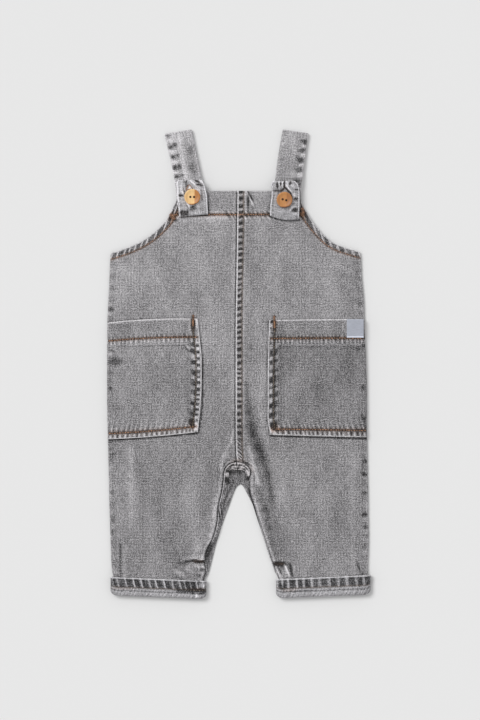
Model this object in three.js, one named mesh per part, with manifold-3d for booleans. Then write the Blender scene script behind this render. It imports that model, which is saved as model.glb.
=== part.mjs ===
// Kids dungarees laid flat on their back, sizes in millimetres.
// +X runs to the right of the laid-out front, +Y to the shoulders and +Z up off the surface.
// Left and right are as seen from above. Every piece of cloth is a closed wall of its own.

import * as THREE from "three";
import { mergeVertices } from "three/addons/utils/BufferGeometryUtils.js";
import Module from "manifold-3d";

// Driving sizes
const CLOTH = 1.4;
const SEAM_GAP = 0.3;
const LAY_GAP = 0.35;
const CROWN_REACH = 24;
const HEM_RISE = 0.8;
const ARMHOLE_HEM = 6.5;
const SEAM_BAND = 7;
const STEP_WIDTH = 1;
const BACK_DROP = 1.5;
const BACK_INSET = 0.8;
const POCKET_RISE = 0.7;
const POCKET_BORDER = 5.5;
const FELL_RISE = 2.3;
const FELL_GAP = 0.5;
const STRAP_CLOTH = 1.9;
const STRAP_FLOOR = 0.95;
const FOLD_RADIUS = 1.15;
const CUFF_HALF_HEIGHT = 4;
const CUFF_CLOTH = 1.8;
const CUFF_CORNER = 7;
const CUFF_CORNER_LIFT = 3.6;
const LABEL_CLOTH = 0.9;
const BUTTON_RADIUS = 7.9;
const BUTTON_HEIGHT = 3;
const BUTTON_HOLE_RADIUS = 0.85;
const BUTTON_HOLE_SPACING = 3.7;

// A front and the back under it, from the bib down to the turn-up.
// outer: the edge at the side. front: the front's inner edge. back: the back's inner edge.
// rise: the front's lift over the back. crown: how far it swells between its edges.
// lift: how far the whole leg stands up to enter the turn-up. hem: 1 along the hemmed armhole.
// bib: 1 across the bib's top hem. fell: width of the inseam's felled seam beside this row.
const ROW_NAMES = ["outerX", "outerY", "frontX", "frontY", "backX", "backY",
  "rise", "crown", "lift", "hem", "bib", "fell"];

const LEFT_ROWS = table(ROW_NAMES, [
  [-62.5, 173, -2.1, 173, 1.3, 171.5, 0.9, 0.2, 0, 1, 1, 0],
  [-62.5, 164.2, -2.2, 164, 1.3, 164, 0.9, 0.2, 0, 1, 1, 0],
  [-65, 158.9, -2.2, 157, 1.3, 157, 0.9, 0.2, 0, 1, 1, 0],
  [-69, 149.4, -2.3, 149.4, 1.3, 149.4, 0.7, 0.4, 0, 1, 1, 0],
  [-69.6, 148.3, -2.3, 148.3, 1.3, 148.3, 0.7, 0.5, 0, 1, 0, 0],
  [-72, 144.5, -2.4, 142, 1.3, 142, 0.6, 0.6, 0, 1, 0, 0],
  [-79.7, 135.9, -2.5, 132, 1.3, 132, 0.5, 0.8, 0, 1, 0, 0],
  [-87.3, 129.2, -2.6, 122, 1.3, 122, 0.4, 1, 0, 1, 0, 0],
  [-95.9, 123.4, -2.7, 112, 1.3, 112, 0.3, 1.2, 0, 1, 0, 0],
  [-107.4, 117.7, -2.9, 101, 1.3, 101, 0.2, 1.4, 0, 1, 0, 0],
  [-118.9, 113.4, -3.1, 90, 1.3, 90, 0.1, 1.6, 0, 1, 0, 0],
  [-128, 110.5, -3.3, 80, 1.3, 80, 0, 1.8, 0, 1, 0, 0],
  [-128.8, 102, -3.4, 70, 1.3, 70, 0, 1.8, 0, 0, 0, 0],
  [-129.5, 84, -3.7, 58, 1.3, 58, 0, 1.9, 0, 0, 0, 0],
  [-130.7, 62, -3.8, 45, 1.3, 45, 0, 2, 0, 0, 0, 0],
  [-131.5, 42, -3.9, 31, 1.3, 31, 0, 2, 0, 0, 0, 0],
  [-131.8, 22, -3.9, 16, 1.3, 16, 0, 2, 0, 0, 0, 0],
  [-131.8, 2, -3.9, 0, 1.3, 0, 0, 2, 0, 0, 0, 0],
  [-131.8, -18, -3.9, -18, 1.3, -18, 0, 2, 0, 0, 0, 0],
  [-131.8, -38, -3.9, -37, 1.3, -37, 0, 2, 0, 0, 0, 0],
  [-131.4, -58, -3.9, -55, 1.3, -55, 0, 2, 0, 0, 0, 0],
  [-131.1, -75, -3.8, -71, 1.3, -71, 0, 2, 0, 0, 0, 0],
  [-130.7, -88, -3.5, -85, 1.3, -86, 0, 2, 0, 0, 0, 0],
  [-130.4, -100, -2.8, -97, 1.3, -99, 0, 1.9, 0, 0, 0, 9],
  [-130.1, -111, -10.2, -99.3, 1.3, -111, 0, 1.9, 0, 0, 0, 7],
  [-129.9, -122, -14.6, -105, 1.4, -120, 0, 1.8, 0, 0, 0, 5.2],
  [-129.7, -133, -15.9, -116, -2.2, -122.6, 0, 1.8, 0, 0, 0, 4.5],
  [-129.3, -146, -17.4, -127, -5.4, -129, 0, 1.8, 0, 0, 0, 4.5],
  [-128.9, -159, -20.8, -142, -9.7, -141, 0, 1.8, 0, 0, 0, 4.5],
  [-128.5, -172, -22.5, -160, -15.2, -156, 0, 1.8, 0, 0, 0, 4.5],
  [-128.1, -185, -26.6, -174.5, -19.9, -170, 0, 1.6, 0, 0, 0, 4.5],
  [-127.7, -196, -32.4, -188, -24, -184, 0, 1.4, 0, 0, 0, 4.5],
  [-127.2, -203, -34.1, -198, -27, -196, 0, 1.2, 0, 0, 0, 4.5],
  [-126.6, -208, -34.2, -205, -30, -206.5, 0, 0.9, 0.7, 0, 0, 4.5],
  [-125.2, -213, -35.8, -216, -36, -216.4, 0, 0.3, 2.1, 0, 0, 0],
  [-125.2, -227.4, -35.8, -230.6, -36, -230.6, 0, 0.3, 2.1, 0, 0, 0],
]);

const RIGHT_ROWS = table(ROW_NAMES, [
  [62.5, 173, -1.8, 173, 1.6, 171.5, 0.9, 0.2, 0, 1, 1, 0],
  [62.2, 164.2, -1.9, 164, 1.6, 164, 0.9, 0.2, 0, 1, 1, 0],
  [63.5, 158.5, -1.9, 157, 1.6, 157, 0.9, 0.2, 0, 1, 1, 0],
  [68.9, 149.4, -2, 149.4, 1.6, 149.4, 0.7, 0.4, 0, 1, 1, 0],
  [69.5, 148.3, -2, 148.3, 1.6, 148.3, 0.7, 0.5, 0, 1, 0, 0],
  [71.8, 144.5, -2.1, 142, 1.6, 142, 0.6, 0.6, 0, 1, 0, 0],
  [78.4, 136, -2.2, 132, 1.6, 132, 0.5, 0.8, 0, 1, 0, 0],
  [84.7, 129, -2.3, 122, 1.6, 122, 0.4, 1, 0, 1, 0, 0],
  [91.5, 123.1, -2.4, 112, 1.6, 112, 0.3, 1.2, 0, 1, 0, 0],
  [99.6, 118.6, -2.6, 101, 1.6, 101, 0.2, 1.4, 0, 1, 0, 0],
  [111, 114.8, -2.8, 90, 1.6, 90, 0.1, 1.6, 0, 1, 0, 0],
  [120.6, 112, -3, 80, 1.6, 80, 0, 1.8, 0, 1, 0, 0],
  [121.8, 103, -3.1, 70, 1.6, 70, 0, 1.8, 0, 0, 0, 0],
  [122.5, 87, -3.4, 58, 1.6, 58, 0, 1.9, 0, 0, 0, 0],
  [124.5, 66, -3.5, 45, 1.6, 45, 0, 2, 0, 0, 0, 0],
  [125.3, 44, -3.6, 31, 1.6, 31, 0, 2, 0, 0, 0, 0],
  [126.2, 22, -3.6, 16, 1.6, 16, 0, 2, 0, 0, 0, 0],
  [126.9, 2, -3.6, 0, 1.6, 0, 0, 2, 0, 0, 0, 0],
  [127.6, -18, -3.6, -18, 1.6, -18, 0, 2, 0, 0, 0, 0],
  [127.7, -38, -3.6, -37, 1.6, -37, 0, 2, 0, 0, 0, 0],
  [127.7, -58, -3.6, -55, 1.6, -55, 0, 2, 0, 0, 0, 0],
  [127.8, -75, -3.5, -71, 1.6, -71, 0, 2, 0, 0, 0, 0],
  [128, -88, -3.2, -85, 1.6, -86, 0, 2, 0, 0, 0, 0],
  [128.2, -100, -2.4, -97, 1.6, -99, 0, 1.9, 0, 0, 0, 9],
  [128.4, -111, 5.5, -98.8, 1.6, -111, 0, 1.9, 0, 0, 0, 8],
  [128.6, -122, 11.5, -105.5, 1.7, -120, 0, 1.8, 0, 0, 0, 6],
  [128.8, -133, 12.2, -116, 4.6, -123, 0, 1.8, 0, 0, 0, 4.6],
  [128.9, -146, 15, -127, 8, -130, 0, 1.8, 0, 0, 0, 4.5],
  [129.1, -159, 19.4, -142, 11.6, -140.5, 0, 1.8, 0, 0, 0, 4.5],
  [129.3, -172, 24.6, -160, 16.6, -154.5, 0, 1.8, 0, 0, 0, 4.5],
  [129.1, -185, 28.8, -174.5, 21.6, -169, 0, 1.6, 0, 0, 0, 4.5],
  [128.8, -196, 32.7, -188, 26.4, -184, 0, 1.4, 0, 0, 0, 4.5],
  [128.5, -203, 35.6, -198, 29.8, -195.5, 0, 1.2, 0, 0, 0, 4.5],
  [128.3, -208, 37.6, -205, 33.2, -205.5, 0, 0.9, 0.7, 0, 0, 4.5],
  [128.2, -212.5, 40.4, -216, 40.5, -216.4, 0, 0.3, 2.1, 0, 0, 0],
  [128.2, -226.6, 40.4, -228.4, 40.5, -228.4, 0, 0.3, 2.1, 0, 0, 0],
]);

// Largest folds of the fronts: from one end to the other, how wide and how high.
const FOLDS = table(["x0", "y0", "x1", "y1", "width", "height"], [
  [10, -16, 14, -62, 9, -0.9],
  [14, -62, 23, -95, 9, -1],
  [23, -95, 33, -148, 9, -0.8],
  [21, -30, 33, -98, 8, 0.6],
  [33, -98, 42, -140, 8, 0.5],
  [-9, -72, -16, -104, 9, 0.7],
  [-108, -86, -108, -156, 13, 0.5],
  [-119, -178, -119, -204, 6, -0.6],
  [-25, -141, -31, -186, 9, 0.6],
  [-48, -120, -60, -190, 12, 0.4],
  [70, -120, 84, -190, 12, 0.4],
  [18, 168, 30, 140, 8, 0.4],
]);

// Patch pockets from the top edge down: the edge at the side seam, the inner edge,
// how far the row bows up at its middle, and the thickness of its hem or turned border.
const POCKET_NAMES = ["outerX", "outerY", "innerX", "innerY", "bow", "border"];

const LEFT_POCKET_ROWS = table(POCKET_NAMES, [
  [-130.2, 41.5, -41.1, 45.3, 1.6, 1],
  [-130.8, 23, -39.2, 26.8, 1.2, 1],
  [-131, 21.9, -39.1, 25.7, 1.2, 0],
  [-131.2, 7, -37.3, 6.6, 0, 0],
  [-131.3, -8, -37.2, -8, 0, 0],
  [-131.3, -24, -37.3, -23, 0, 0],
  [-131.3, -40, -37.9, -37, 0, 0],
  [-131, -56, -39.4, -54, 0, 0],
  [-130.6, -69.3, -40.3, -62, -1, 0],
  [-130.6, -70.4, -40.4, -63.2, -1, 1],
  [-130.3, -75.2, -41.1, -68, -1, 1],
]);

const RIGHT_POCKET_ROWS = table(POCKET_NAMES, [
  [124.8, 44.9, 30.1, 43.9, 0.3, 1],
  [125.6, 27.6, 29.4, 27.1, 0.3, 1],
  [125.7, 26.5, 29.3, 26, 0.3, 0],
  [126.2, 12, 29.1, 12, 0, 0],
  [126.7, -6, 28.8, -6, 0, 0],
  [127, -24, 28.7, -24, 0, 0],
  [127.2, -40, 28.7, -41, 0, 0],
  [127.2, -54, 28.7, -56, 0, 0],
  [127.2, -66.6, 30.3, -65, 0, 0],
  [127.2, -67.7, 30.5, -66.1, 0, 1],
  [127.2, -73.2, 31.5, -70.7, -0.3, 1],
]);

// Straps: their two edges and the height of their middle plane. The back run ends at the back's
// top edge, turns over at the shoulder, comes down over the bib, and its end is turned up outside.
const STRAP_NAMES = ["leftX", "leftY", "rightX", "rightY", "bow", "height"];

const LEFT_STRAP = {
  backRun: table(STRAP_NAMES, [
    [-62.6, 172, -36.5, 172, 0, STRAP_FLOOR],
    [-66, 192, -38.7, 192, 0, STRAP_FLOOR],
    [-70.3, 211, -43, 213.5, 0, STRAP_FLOOR],
    [-74.1, 228, -46.8, 232.3, 0, STRAP_FLOOR],
  ]),
  frontRun: table(STRAP_NAMES, [
    [-74.1, 228, -46.8, 232.3, 0, 3.25],
    [-70.3, 211, -43, 213.5, 0, 3.25],
    [-66, 192, -38.7, 192, 0, 3.9],
    [-64.2, 181, -37, 181, 0, 5.9],
    [-63.4, 174.5, -35.8, 174.5, 0, 6.35],
    [-61, 158, -32.5, 160, 0, 6.35],
    [-59.7, 149, -31, 151.4, 0, 6.35],
  ]),
  end: table(STRAP_NAMES, [
    [-59.7, 149, -31, 151.4, 0, 8.65],
    [-60.4, 158.9, -31.5, 161, 0, 8.65],
    [-61.5, 167, -31.8, 167, 0, 8.65],
    [-62, 175, -33.5, 175, 0, 8.65],
    [-62.3, 180, -35, 180, 0, 8.65],
    [-61, 183.4, -37, 183.6, 0, 8.65],
  ]),
};

const RIGHT_STRAP = {
  backRun: table(STRAP_NAMES, [
    [34.9, 172, 61.6, 172, 0, STRAP_FLOOR],
    [37, 192, 64.3, 192, 0, STRAP_FLOOR],
    [40, 213.5, 66.7, 211, 0, STRAP_FLOOR],
    [43.4, 232.3, 69.1, 228.5, 0, STRAP_FLOOR],
  ]),
  frontRun: table(STRAP_NAMES, [
    [43.4, 232.3, 69.1, 228.5, 0, 3.25],
    [40, 213.5, 66.7, 211, 0, 3.25],
    [37, 192, 64.3, 192, 0, 3.9],
    [35.7, 181, 62.6, 181, 0, 5.9],
    [34.7, 174.5, 61.5, 174.5, 0, 6.35],
    [32.5, 158, 60.6, 158, -1, 6.35],
    [31, 150.2, 59.9, 146.6, -2.6, 6.35],
  ]),
  end: table(STRAP_NAMES, [
    [31, 150.2, 59.9, 146.6, -2.6, 8.65],
    [31.4, 158.9, 60.2, 158, -1, 8.65],
    [32.3, 167, 60.3, 167, 0, 8.65],
    [32.5, 175, 60, 174.5, 0, 8.65],
    [32.1, 180, 58.2, 180, 0, 8.65],
    [34.5, 182.6, 55.5, 182.6, 0, 8.65],
  ]),
};

const BUTTON_PLACES = table(["x", "y", "base", "turn"], [
  [-46.6, 166.5, 9.95, 0],
  [45.3, 163.7, 9.95, 15],
]);

// Turn-ups: their ends and the slope of their top and bottom edges.
const CUFF_NAMES = ["leftX", "rightX", "topLeftY", "topRightY", "bottomLeftY", "bottomRightY"];
const LEFT_CUFF = table(CUFF_NAMES, [[-128.7, -32.2, -213.5, -216.4, -230.9, -234.7]])[0];
const RIGHT_CUFF = table(CUFF_NAMES, [[36.7, 131.8, -215.6, -211.5, -233.9, -230.2]])[0];

// The turn-up's wall from its top edge down and in under the leg's end. The insets are measured
// in from the outer face, the drops down from the top edge or up from the bottom fold.
const CUFF_WALL = table(["from", "faceInset", "faceAway", "backInset", "backAway"], [
  ["top", 0.3, 0, CUFF_CLOTH, 0],
  ["top", 0, 1.4, CUFF_CLOTH, 1.4],
  ["top", 0.3, 8.8, CUFF_CLOTH, 8.8],
  ["top", 0, 10.4, CUFF_CLOTH, 10.4],
  ["bottom", 0, 3.2, CUFF_CLOTH, 3.4],
  ["bottom", 0.3, 1.1, CUFF_CLOTH, 2.3],
  ["bottom", 1.4, 0, 2.3, 1.7],
  ["bottom", 2.8, 0.2, 2.8, 1.7],
]);

const LABEL_PLACE = table(["leftX", "rightX", "bottomY", "topY"], [[107.6, 124.3, 27.2, 44.4]])[0];

const DENIM = { color: 0x969598, roughness: 0.92, metalness: 0 };
const DENIM_REVERSE = { color: 0xaaaaab, roughness: 0.95, metalness: 0 };
const WOOD = { color: 0xd8ae7c, roughness: 0.6, metalness: 0 };
const LABEL_TAPE = { color: 0xabafc0, roughness: 0.8, metalness: 0 };

// A table's rows as objects with named columns
function table(names, rows) {
  return rows.map((row) => Object.fromEntries(names.map((name, k) => [name, row[k]])));
}

function mix(a, b, t) {
  return a + (b - a) * t;
}

function smooth(low, high, value) {
  const t = THREE.MathUtils.clamp((value - low) / (high - low), 0, 1);
  return t * t * (3 - 2 * t);
}

// Closed body between a face and a back: rows of points { face, back }.
// A ring joins its last row to its first.
function wall(rows, ring = false) {
  const across = rows[0].length;
  const corners = [];
  for (const side of ["face", "back"]) {
    for (const row of rows) {
      for (const point of row) {
        corners.push(point[side].x, point[side].y, point[side].z);
      }
    }
  }
  const back = rows.length * across;
  const at = (i, j) => (i % rows.length) * across + j;
  const triangles = [];
  const quad = (a, b, c, d) => triangles.push(a, b, c, a, c, d);
  const spans = ring ? rows.length : rows.length - 1;
  for (let i = 0; i < spans; i += 1) {
    for (let j = 0; j < across - 1; j += 1) {
      quad(at(i, j), at(i + 1, j), at(i + 1, j + 1), at(i, j + 1));
      quad(back + at(i, j), back + at(i, j + 1), back + at(i + 1, j + 1), back + at(i + 1, j));
    }
    quad(at(i, 0), back + at(i, 0), back + at(i + 1, 0), at(i + 1, 0));
    const end = across - 1;
    quad(at(i, end), at(i + 1, end), back + at(i + 1, end), back + at(i, end));
  }
  if (!ring) {
    const last = rows.length - 1;
    for (let j = 0; j < across - 1; j += 1) {
      quad(at(0, j), at(0, j + 1), back + at(0, j + 1), back + at(0, j));
      quad(at(last, j), back + at(last, j), back + at(last, j + 1), at(last, j + 1));
    }
  }
  return outward(corners, triangles);
}

// Turns every face outwards by the sign of the enclosed volume
function outward(corners, triangles) {
  let volume = 0;
  const a = new THREE.Vector3();
  const b = new THREE.Vector3();
  const c = new THREE.Vector3();
  for (let k = 0; k < triangles.length; k += 3) {
    a.fromArray(corners, triangles[k] * 3);
    b.fromArray(corners, triangles[k + 1] * 3);
    c.fromArray(corners, triangles[k + 2] * 3);
    volume += a.dot(b.cross(c));
  }
  const faces = volume > 0 ? triangles : triangles.slice().reverse();
  const geometry = new THREE.BufferGeometry();
  geometry.setAttribute("position", new THREE.Float32BufferAttribute(corners, 3));
  geometry.setIndex(faces);
  return geometry;
}

function point(x, y, z) {
  return new THREE.Vector3(x, y, z);
}

function foldHeight(x, y) {
  let height = 0;
  for (const fold of FOLDS) {
    const alongX = fold.x1 - fold.x0;
    const alongY = fold.y1 - fold.y0;
    const length = alongX ** 2 + alongY ** 2;
    const t = ((x - fold.x0) * alongX + (y - fold.y0) * alongY) / length;
    const nearest = THREE.MathUtils.clamp(t, 0, 1);
    const away = Math.hypot(x - fold.x0 - nearest * alongX, y - fold.y0 - nearest * alongY);
    height += fold.height * (1 - smooth(0, fold.width, away));
  }
  return height;
}

function crownShape(distance) {
  const t = Math.min(1, distance / CROWN_REACH);
  return 1 - (1 - t) ** 2;
}

// Places across a row: fixed distances in from both edges, with even spans between them
function placesAcross(length, fromStart, fromEnd, spans) {
  const first = fromStart[fromStart.length - 1];
  const last = length - fromEnd[0];
  const places = [...fromStart];
  for (let k = 1; k < spans; k += 1) {
    places.push(mix(first, last, k / spans));
  }
  fromEnd.forEach((distance) => places.push(length - distance));
  return places;
}

const FRONT_FROM_OUTER = [0, 3.2, ARMHOLE_HEM, ARMHOLE_HEM + STEP_WIDTH];
const FRONT_FROM_CENTRE = [SEAM_BAND + STEP_WIDTH, SEAM_BAND, 0];
const FRONT_SPANS = 9;
const BACK_SPANS = 7;

// A front: crowned over the back, raised at the armhole's hem, the bib's hem and the centre seam's
// lap. band is that lap's rise, which only one of the two fronts has.
function frontRows(rows, band) {
  return rows.map((row) => {
    const length = Math.hypot(row.frontX - row.outerX, row.frontY - row.outerY);
    const legged = smooth(-96, -112, row.frontY);
    return placesAcross(length, FRONT_FROM_OUTER, FRONT_FROM_CENTRE, FRONT_SPANS).map((place) => {
      const t = place / length;
      const x = mix(row.outerX, row.frontX, t);
      const y = mix(row.outerY, row.frontY, t);
      const inner = length - place;
      const crown = row.crown * crownShape(place) * mix(1, crownShape(inner), legged);
      const fold = foldHeight(x, y) * smooth(0, 8, place);
      const floor = row.lift + CLOTH + SEAM_GAP + row.rise;
      const low = Math.max(floor, floor + crown + fold);
      const onHem = row.hem * (place <= ARMHOLE_HEM ? 1 : 0);
      const onBand = inner <= SEAM_BAND && row.fell === 0 && row.lift === 0 ? band : 0;
      const relief = HEM_RISE * Math.max(onHem, row.bib, onBand);
      return { face: point(x, y, low + CLOTH + relief), back: point(x, y, low) };
    });
  });
}

// A back: flat on the surface down to the turn-up, which lifts its end
function backRows(rows) {
  return rows.map((row, k) => {
    const inset = row.lift > 1 ? 0 : Math.sign(row.backX - row.outerX) * BACK_INSET;
    const drop = k === 0 ? BACK_DROP : 0;
    const points = [];
    for (let j = 0; j <= BACK_SPANS; j += 1) {
      const t = j / BACK_SPANS;
      const x = mix(row.outerX + inset, row.backX, t);
      const y = mix(row.outerY - drop, row.backY, t);
      points.push({ face: point(x, y, row.lift + CLOTH), back: point(x, y, row.lift) });
    }
    return points;
  });
}

// Height of a wall's outer face over a place, from the face's own triangles
function heightOver(rows, x, y) {
  for (let i = 0; i < rows.length - 1; i += 1) {
    for (let j = 0; j < rows[0].length - 1; j += 1) {
      const a = rows[i][j].face;
      const b = rows[i + 1][j].face;
      const c = rows[i + 1][j + 1].face;
      const d = rows[i][j + 1].face;
      for (const [p, q, r] of [[a, b, c], [a, c, d]]) {
        const area = (q.x - p.x) * (r.y - p.y) - (r.x - p.x) * (q.y - p.y);
        const u = ((x - p.x) * (r.y - p.y) - (r.x - p.x) * (y - p.y)) / area;
        const v = ((q.x - p.x) * (y - p.y) - (x - p.x) * (q.y - p.y)) / area;
        const edge = -0.001;
        if (u >= edge && v >= edge && u + v <= 1 - edge) {
          return p.z + u * (q.z - p.z) + v * (r.z - p.z);
        }
      }
    }
  }
  throw new Error(`nothing lies under ${x}, ${y}`);
}

const POCKET_FROM_OUTER = [0, 5];
const POCKET_FROM_INNER = [POCKET_BORDER + STEP_WIDTH, POCKET_BORDER, 0];
const POCKET_SPANS = 9;

// A patch pocket, laid on its front and raised at the hem and along its turned border
function pocketRows(rows, under) {
  return rows.map((row) => {
    const length = Math.hypot(row.innerX - row.outerX, row.innerY - row.outerY);
    return placesAcross(length, POCKET_FROM_OUTER, POCKET_FROM_INNER, POCKET_SPANS).map((place) => {
      const t = place / length;
      const x = mix(row.outerX, row.innerX, t);
      const y = mix(row.outerY, row.innerY, t) + row.bow * 4 * t * (1 - t);
      const low = heightOver(under, x, y) + LAY_GAP;
      const border = Math.max(row.border, length - place <= POCKET_BORDER ? 1 : 0);
      return { face: point(x, y, low + CLOTH + POCKET_RISE * border), back: point(x, y, low) };
    });
  });
}

function labelRows(under) {
  const spans = 3;
  const rows = [];
  for (let i = 0; i <= spans; i += 1) {
    const row = [];
    for (let j = 0; j <= spans; j += 1) {
      const x = mix(LABEL_PLACE.leftX, LABEL_PLACE.rightX, j / spans);
      const y = mix(LABEL_PLACE.topY, LABEL_PLACE.bottomY, i / spans);
      const low = heightOver(under, x, y) + LAY_GAP;
      row.push({ face: point(x, y, low + LABEL_CLOTH), back: point(x, y, low) });
    }
    rows.push(row);
  }
  return rows;
}

// The inseam's felled seam: a rounded strip round the fronts' inner edges, over the backs.
// Its two halves meet at the crotch.
function inseamHalves() {
  const left = LEFT_ROWS.filter((row) => row.fell > 0).reverse();
  const right = RIGHT_ROWS.filter((row) => row.fell > 0).slice(1);
  const route = [...left, ...right];
  const section = [0, 0.28, 0.72, 1];
  const rows = route.map((row, k) => {
    const before = route[Math.max(0, k - 1)];
    const after = route[Math.min(route.length - 1, k + 1)];
    const along = new THREE.Vector2(after.frontX - before.frontX, after.frontY - before.frontY);
    along.normalize();
    const low = row.lift + CLOTH + SEAM_GAP;
    return section.map((t) => {
      const away = FELL_GAP + row.fell * t;
      const x = row.frontX + along.y * away;
      const y = row.frontY - along.x * away;
      const high = low + FELL_RISE * (0.7 + 0.3 * Math.sin(Math.PI * t));
      return { face: point(x, y, high), back: point(x, y, low) };
    });
  });
  const apart = point(SEAM_GAP, 0, 0);
  const crotch = rows[left.length - 1].map((at) => ({
    face: at.face.clone().add(apart),
    back: at.back.clone().add(apart),
  }));
  return { left: rows.slice(0, left.length), right: [crotch, ...rows.slice(left.length)] };
}

const STRAP_SPANS = 4;
const FOLD_STEPS = 6;

// One row across a strap whose outer face is turned by an angle from straight up
function strapRow(row, height, shift, turn) {
  const across = new THREE.Vector2(row.rightX - row.leftX, row.rightY - row.leftY).normalize();
  const points = [];
  for (let j = 0; j <= STRAP_SPANS; j += 1) {
    const t = j / STRAP_SPANS;
    const bow = row.bow * 4 * t * (1 - t);
    const x = mix(row.leftX, row.rightX, t) - across.y * (shift + bow);
    const y = mix(row.leftY, row.rightY, t) + across.x * (shift + bow);
    const half = STRAP_CLOTH / 2;
    const out = point(-across.y * Math.sin(turn), across.x * Math.sin(turn), Math.cos(turn));
    const middle = point(x, y, height);
    points.push({
      face: middle.clone().addScaledVector(out, half),
      back: middle.clone().addScaledVector(out, -half),
    });
  }
  return points;
}

function strapRows(strap) {
  const rows = [];
  strap.backRun.forEach((row) => rows.push(strapRow(row, row.height, 0, Math.PI)));
  const shoulder = strap.frontRun[0];
  for (let k = 1; k < FOLD_STEPS; k += 1) {
    const angle = (Math.PI * k) / FOLD_STEPS;
    const height = STRAP_FLOOR + FOLD_RADIUS * (1 - Math.cos(angle));
    rows.push(strapRow(shoulder, height, FOLD_RADIUS * Math.sin(angle), Math.PI - angle));
  }
  strap.frontRun.forEach((row) => rows.push(strapRow(row, row.height, 0, 0)));
  const lower = strap.end[0];
  for (let k = 1; k < FOLD_STEPS; k += 1) {
    const angle = (Math.PI * k) / FOLD_STEPS;
    const height = lower.height - FOLD_RADIUS * (1 + Math.cos(angle));
    rows.push(strapRow(lower, height, -FOLD_RADIUS * Math.sin(angle), angle));
  }
  strap.end.forEach((row) => rows.push(strapRow(row, row.height, 0, Math.PI)));
  return rows;
}

const CUFF_END_STEPS = 4;
const CUFF_FLAT_SPANS = 9;

// A turn-up: a flattened ring round the leg's end, with its bottom fold turned in under it
function cuffRows(cuff) {
  const stations = [];
  const startX = cuff.leftX + CUFF_HALF_HEIGHT;
  const endX = cuff.rightX - CUFF_HALF_HEIGHT;
  for (let k = 0; k <= CUFF_FLAT_SPANS; k += 1) {
    stations.push({ x: mix(startX, endX, k / CUFF_FLAT_SPANS), angle: -Math.PI / 2 });
  }
  for (let k = 1; k < CUFF_END_STEPS; k += 1) {
    stations.push({ x: endX, angle: -Math.PI / 2 + (Math.PI * k) / CUFF_END_STEPS });
  }
  for (let k = CUFF_FLAT_SPANS; k >= 0; k -= 1) {
    stations.push({ x: mix(startX, endX, k / CUFF_FLAT_SPANS), angle: Math.PI / 2 });
  }
  for (let k = 1; k < CUFF_END_STEPS; k += 1) {
    stations.push({ x: startX, angle: Math.PI / 2 + (Math.PI * k) / CUFF_END_STEPS });
  }
  return stations.map((station) => CUFF_WALL.map((level) => {
    const place = (inset, away) => {
      const reach = CUFF_HALF_HEIGHT - inset;
      const x = station.x + reach * Math.cos(station.angle);
      const t = (x - cuff.leftX) / (cuff.rightX - cuff.leftX);
      const top = mix(cuff.topLeftY, cuff.topRightY, t);
      const toEnd = Math.min(x - cuff.leftX, cuff.rightX - x) / CUFF_CORNER;
      const lifted = CUFF_CORNER_LIFT * Math.max(0, 1 - toEnd) ** 2;
      const bottom = mix(cuff.bottomLeftY, cuff.bottomRightY, t) + lifted;
      const y = level.from === "top" ? top - away : bottom + away;
      return point(x, y, CUFF_HALF_HEIGHT + reach * Math.sin(station.angle));
    };
    return {
      face: place(level.faceInset, level.faceAway),
      back: place(level.backInset, level.backAway),
    };
  }));
}

const wasm = await Module();
wasm.setup();

function toSolid(geometry) {
  const plain = geometry.clone();
  plain.deleteAttribute("normal");
  plain.deleteAttribute("uv");
  const merged = mergeVertices(plain, 1e-4);
  return new wasm.Manifold(new wasm.Mesh({
    numProp: 3,
    vertProperties: new Float32Array(merged.attributes.position.array),
    triVerts: new Uint32Array(merged.index.array),
  }));
}

function toGeometry(solid) {
  const mesh = solid.getMesh();
  const geometry = new THREE.BufferGeometry();
  geometry.setAttribute("position", new THREE.BufferAttribute(mesh.vertProperties.slice(), 3));
  geometry.setIndex(Array.from(mesh.triVerts));
  return geometry;
}

// A turned wooden button with a pale rim, a shallow dish and two thread holes
function buttonGeometry(turn) {
  const profile = [
    [0, 0], [6.2, 0], [7.6, 0.7], [BUTTON_RADIUS, 1.6], [7.5, 2.6], [6.6, BUTTON_HEIGHT],
    [5.7, 2.7], [4.9, 2.1], [0, 2.1],
  ].map(([radius, height]) => new THREE.Vector2(radius, height));
  const disc = new THREE.LatheGeometry(profile, 24);
  disc.rotateX(Math.PI / 2);
  let solid = toSolid(disc);
  for (const side of [-1, 1]) {
    const hole = new THREE.CylinderGeometry(BUTTON_HOLE_RADIUS, BUTTON_HOLE_RADIUS, 8, 10);
    hole.rotateX(Math.PI / 2);
    hole.translate((side * BUTTON_HOLE_SPACING) / 2, 0, 1);
    solid = solid.subtract(toSolid(hole));
  }
  const geometry = toGeometry(solid);
  geometry.rotateZ(THREE.MathUtils.degToRad(turn));
  return geometry;
}

function piece(name, geometry, finish) {
  const mesh = new THREE.Mesh(geometry, new THREE.MeshStandardMaterial(finish));
  mesh.name = name;
  return mesh;
}

const dungarees = new THREE.Group();
const frontLeft = frontRows(LEFT_ROWS, 0);
const frontRight = frontRows(RIGHT_ROWS, 1);
const pocketLeft = pocketRows(LEFT_POCKET_ROWS, frontLeft);
const pocketRight = pocketRows(RIGHT_POCKET_ROWS, frontRight);
const inseam = inseamHalves();

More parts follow.
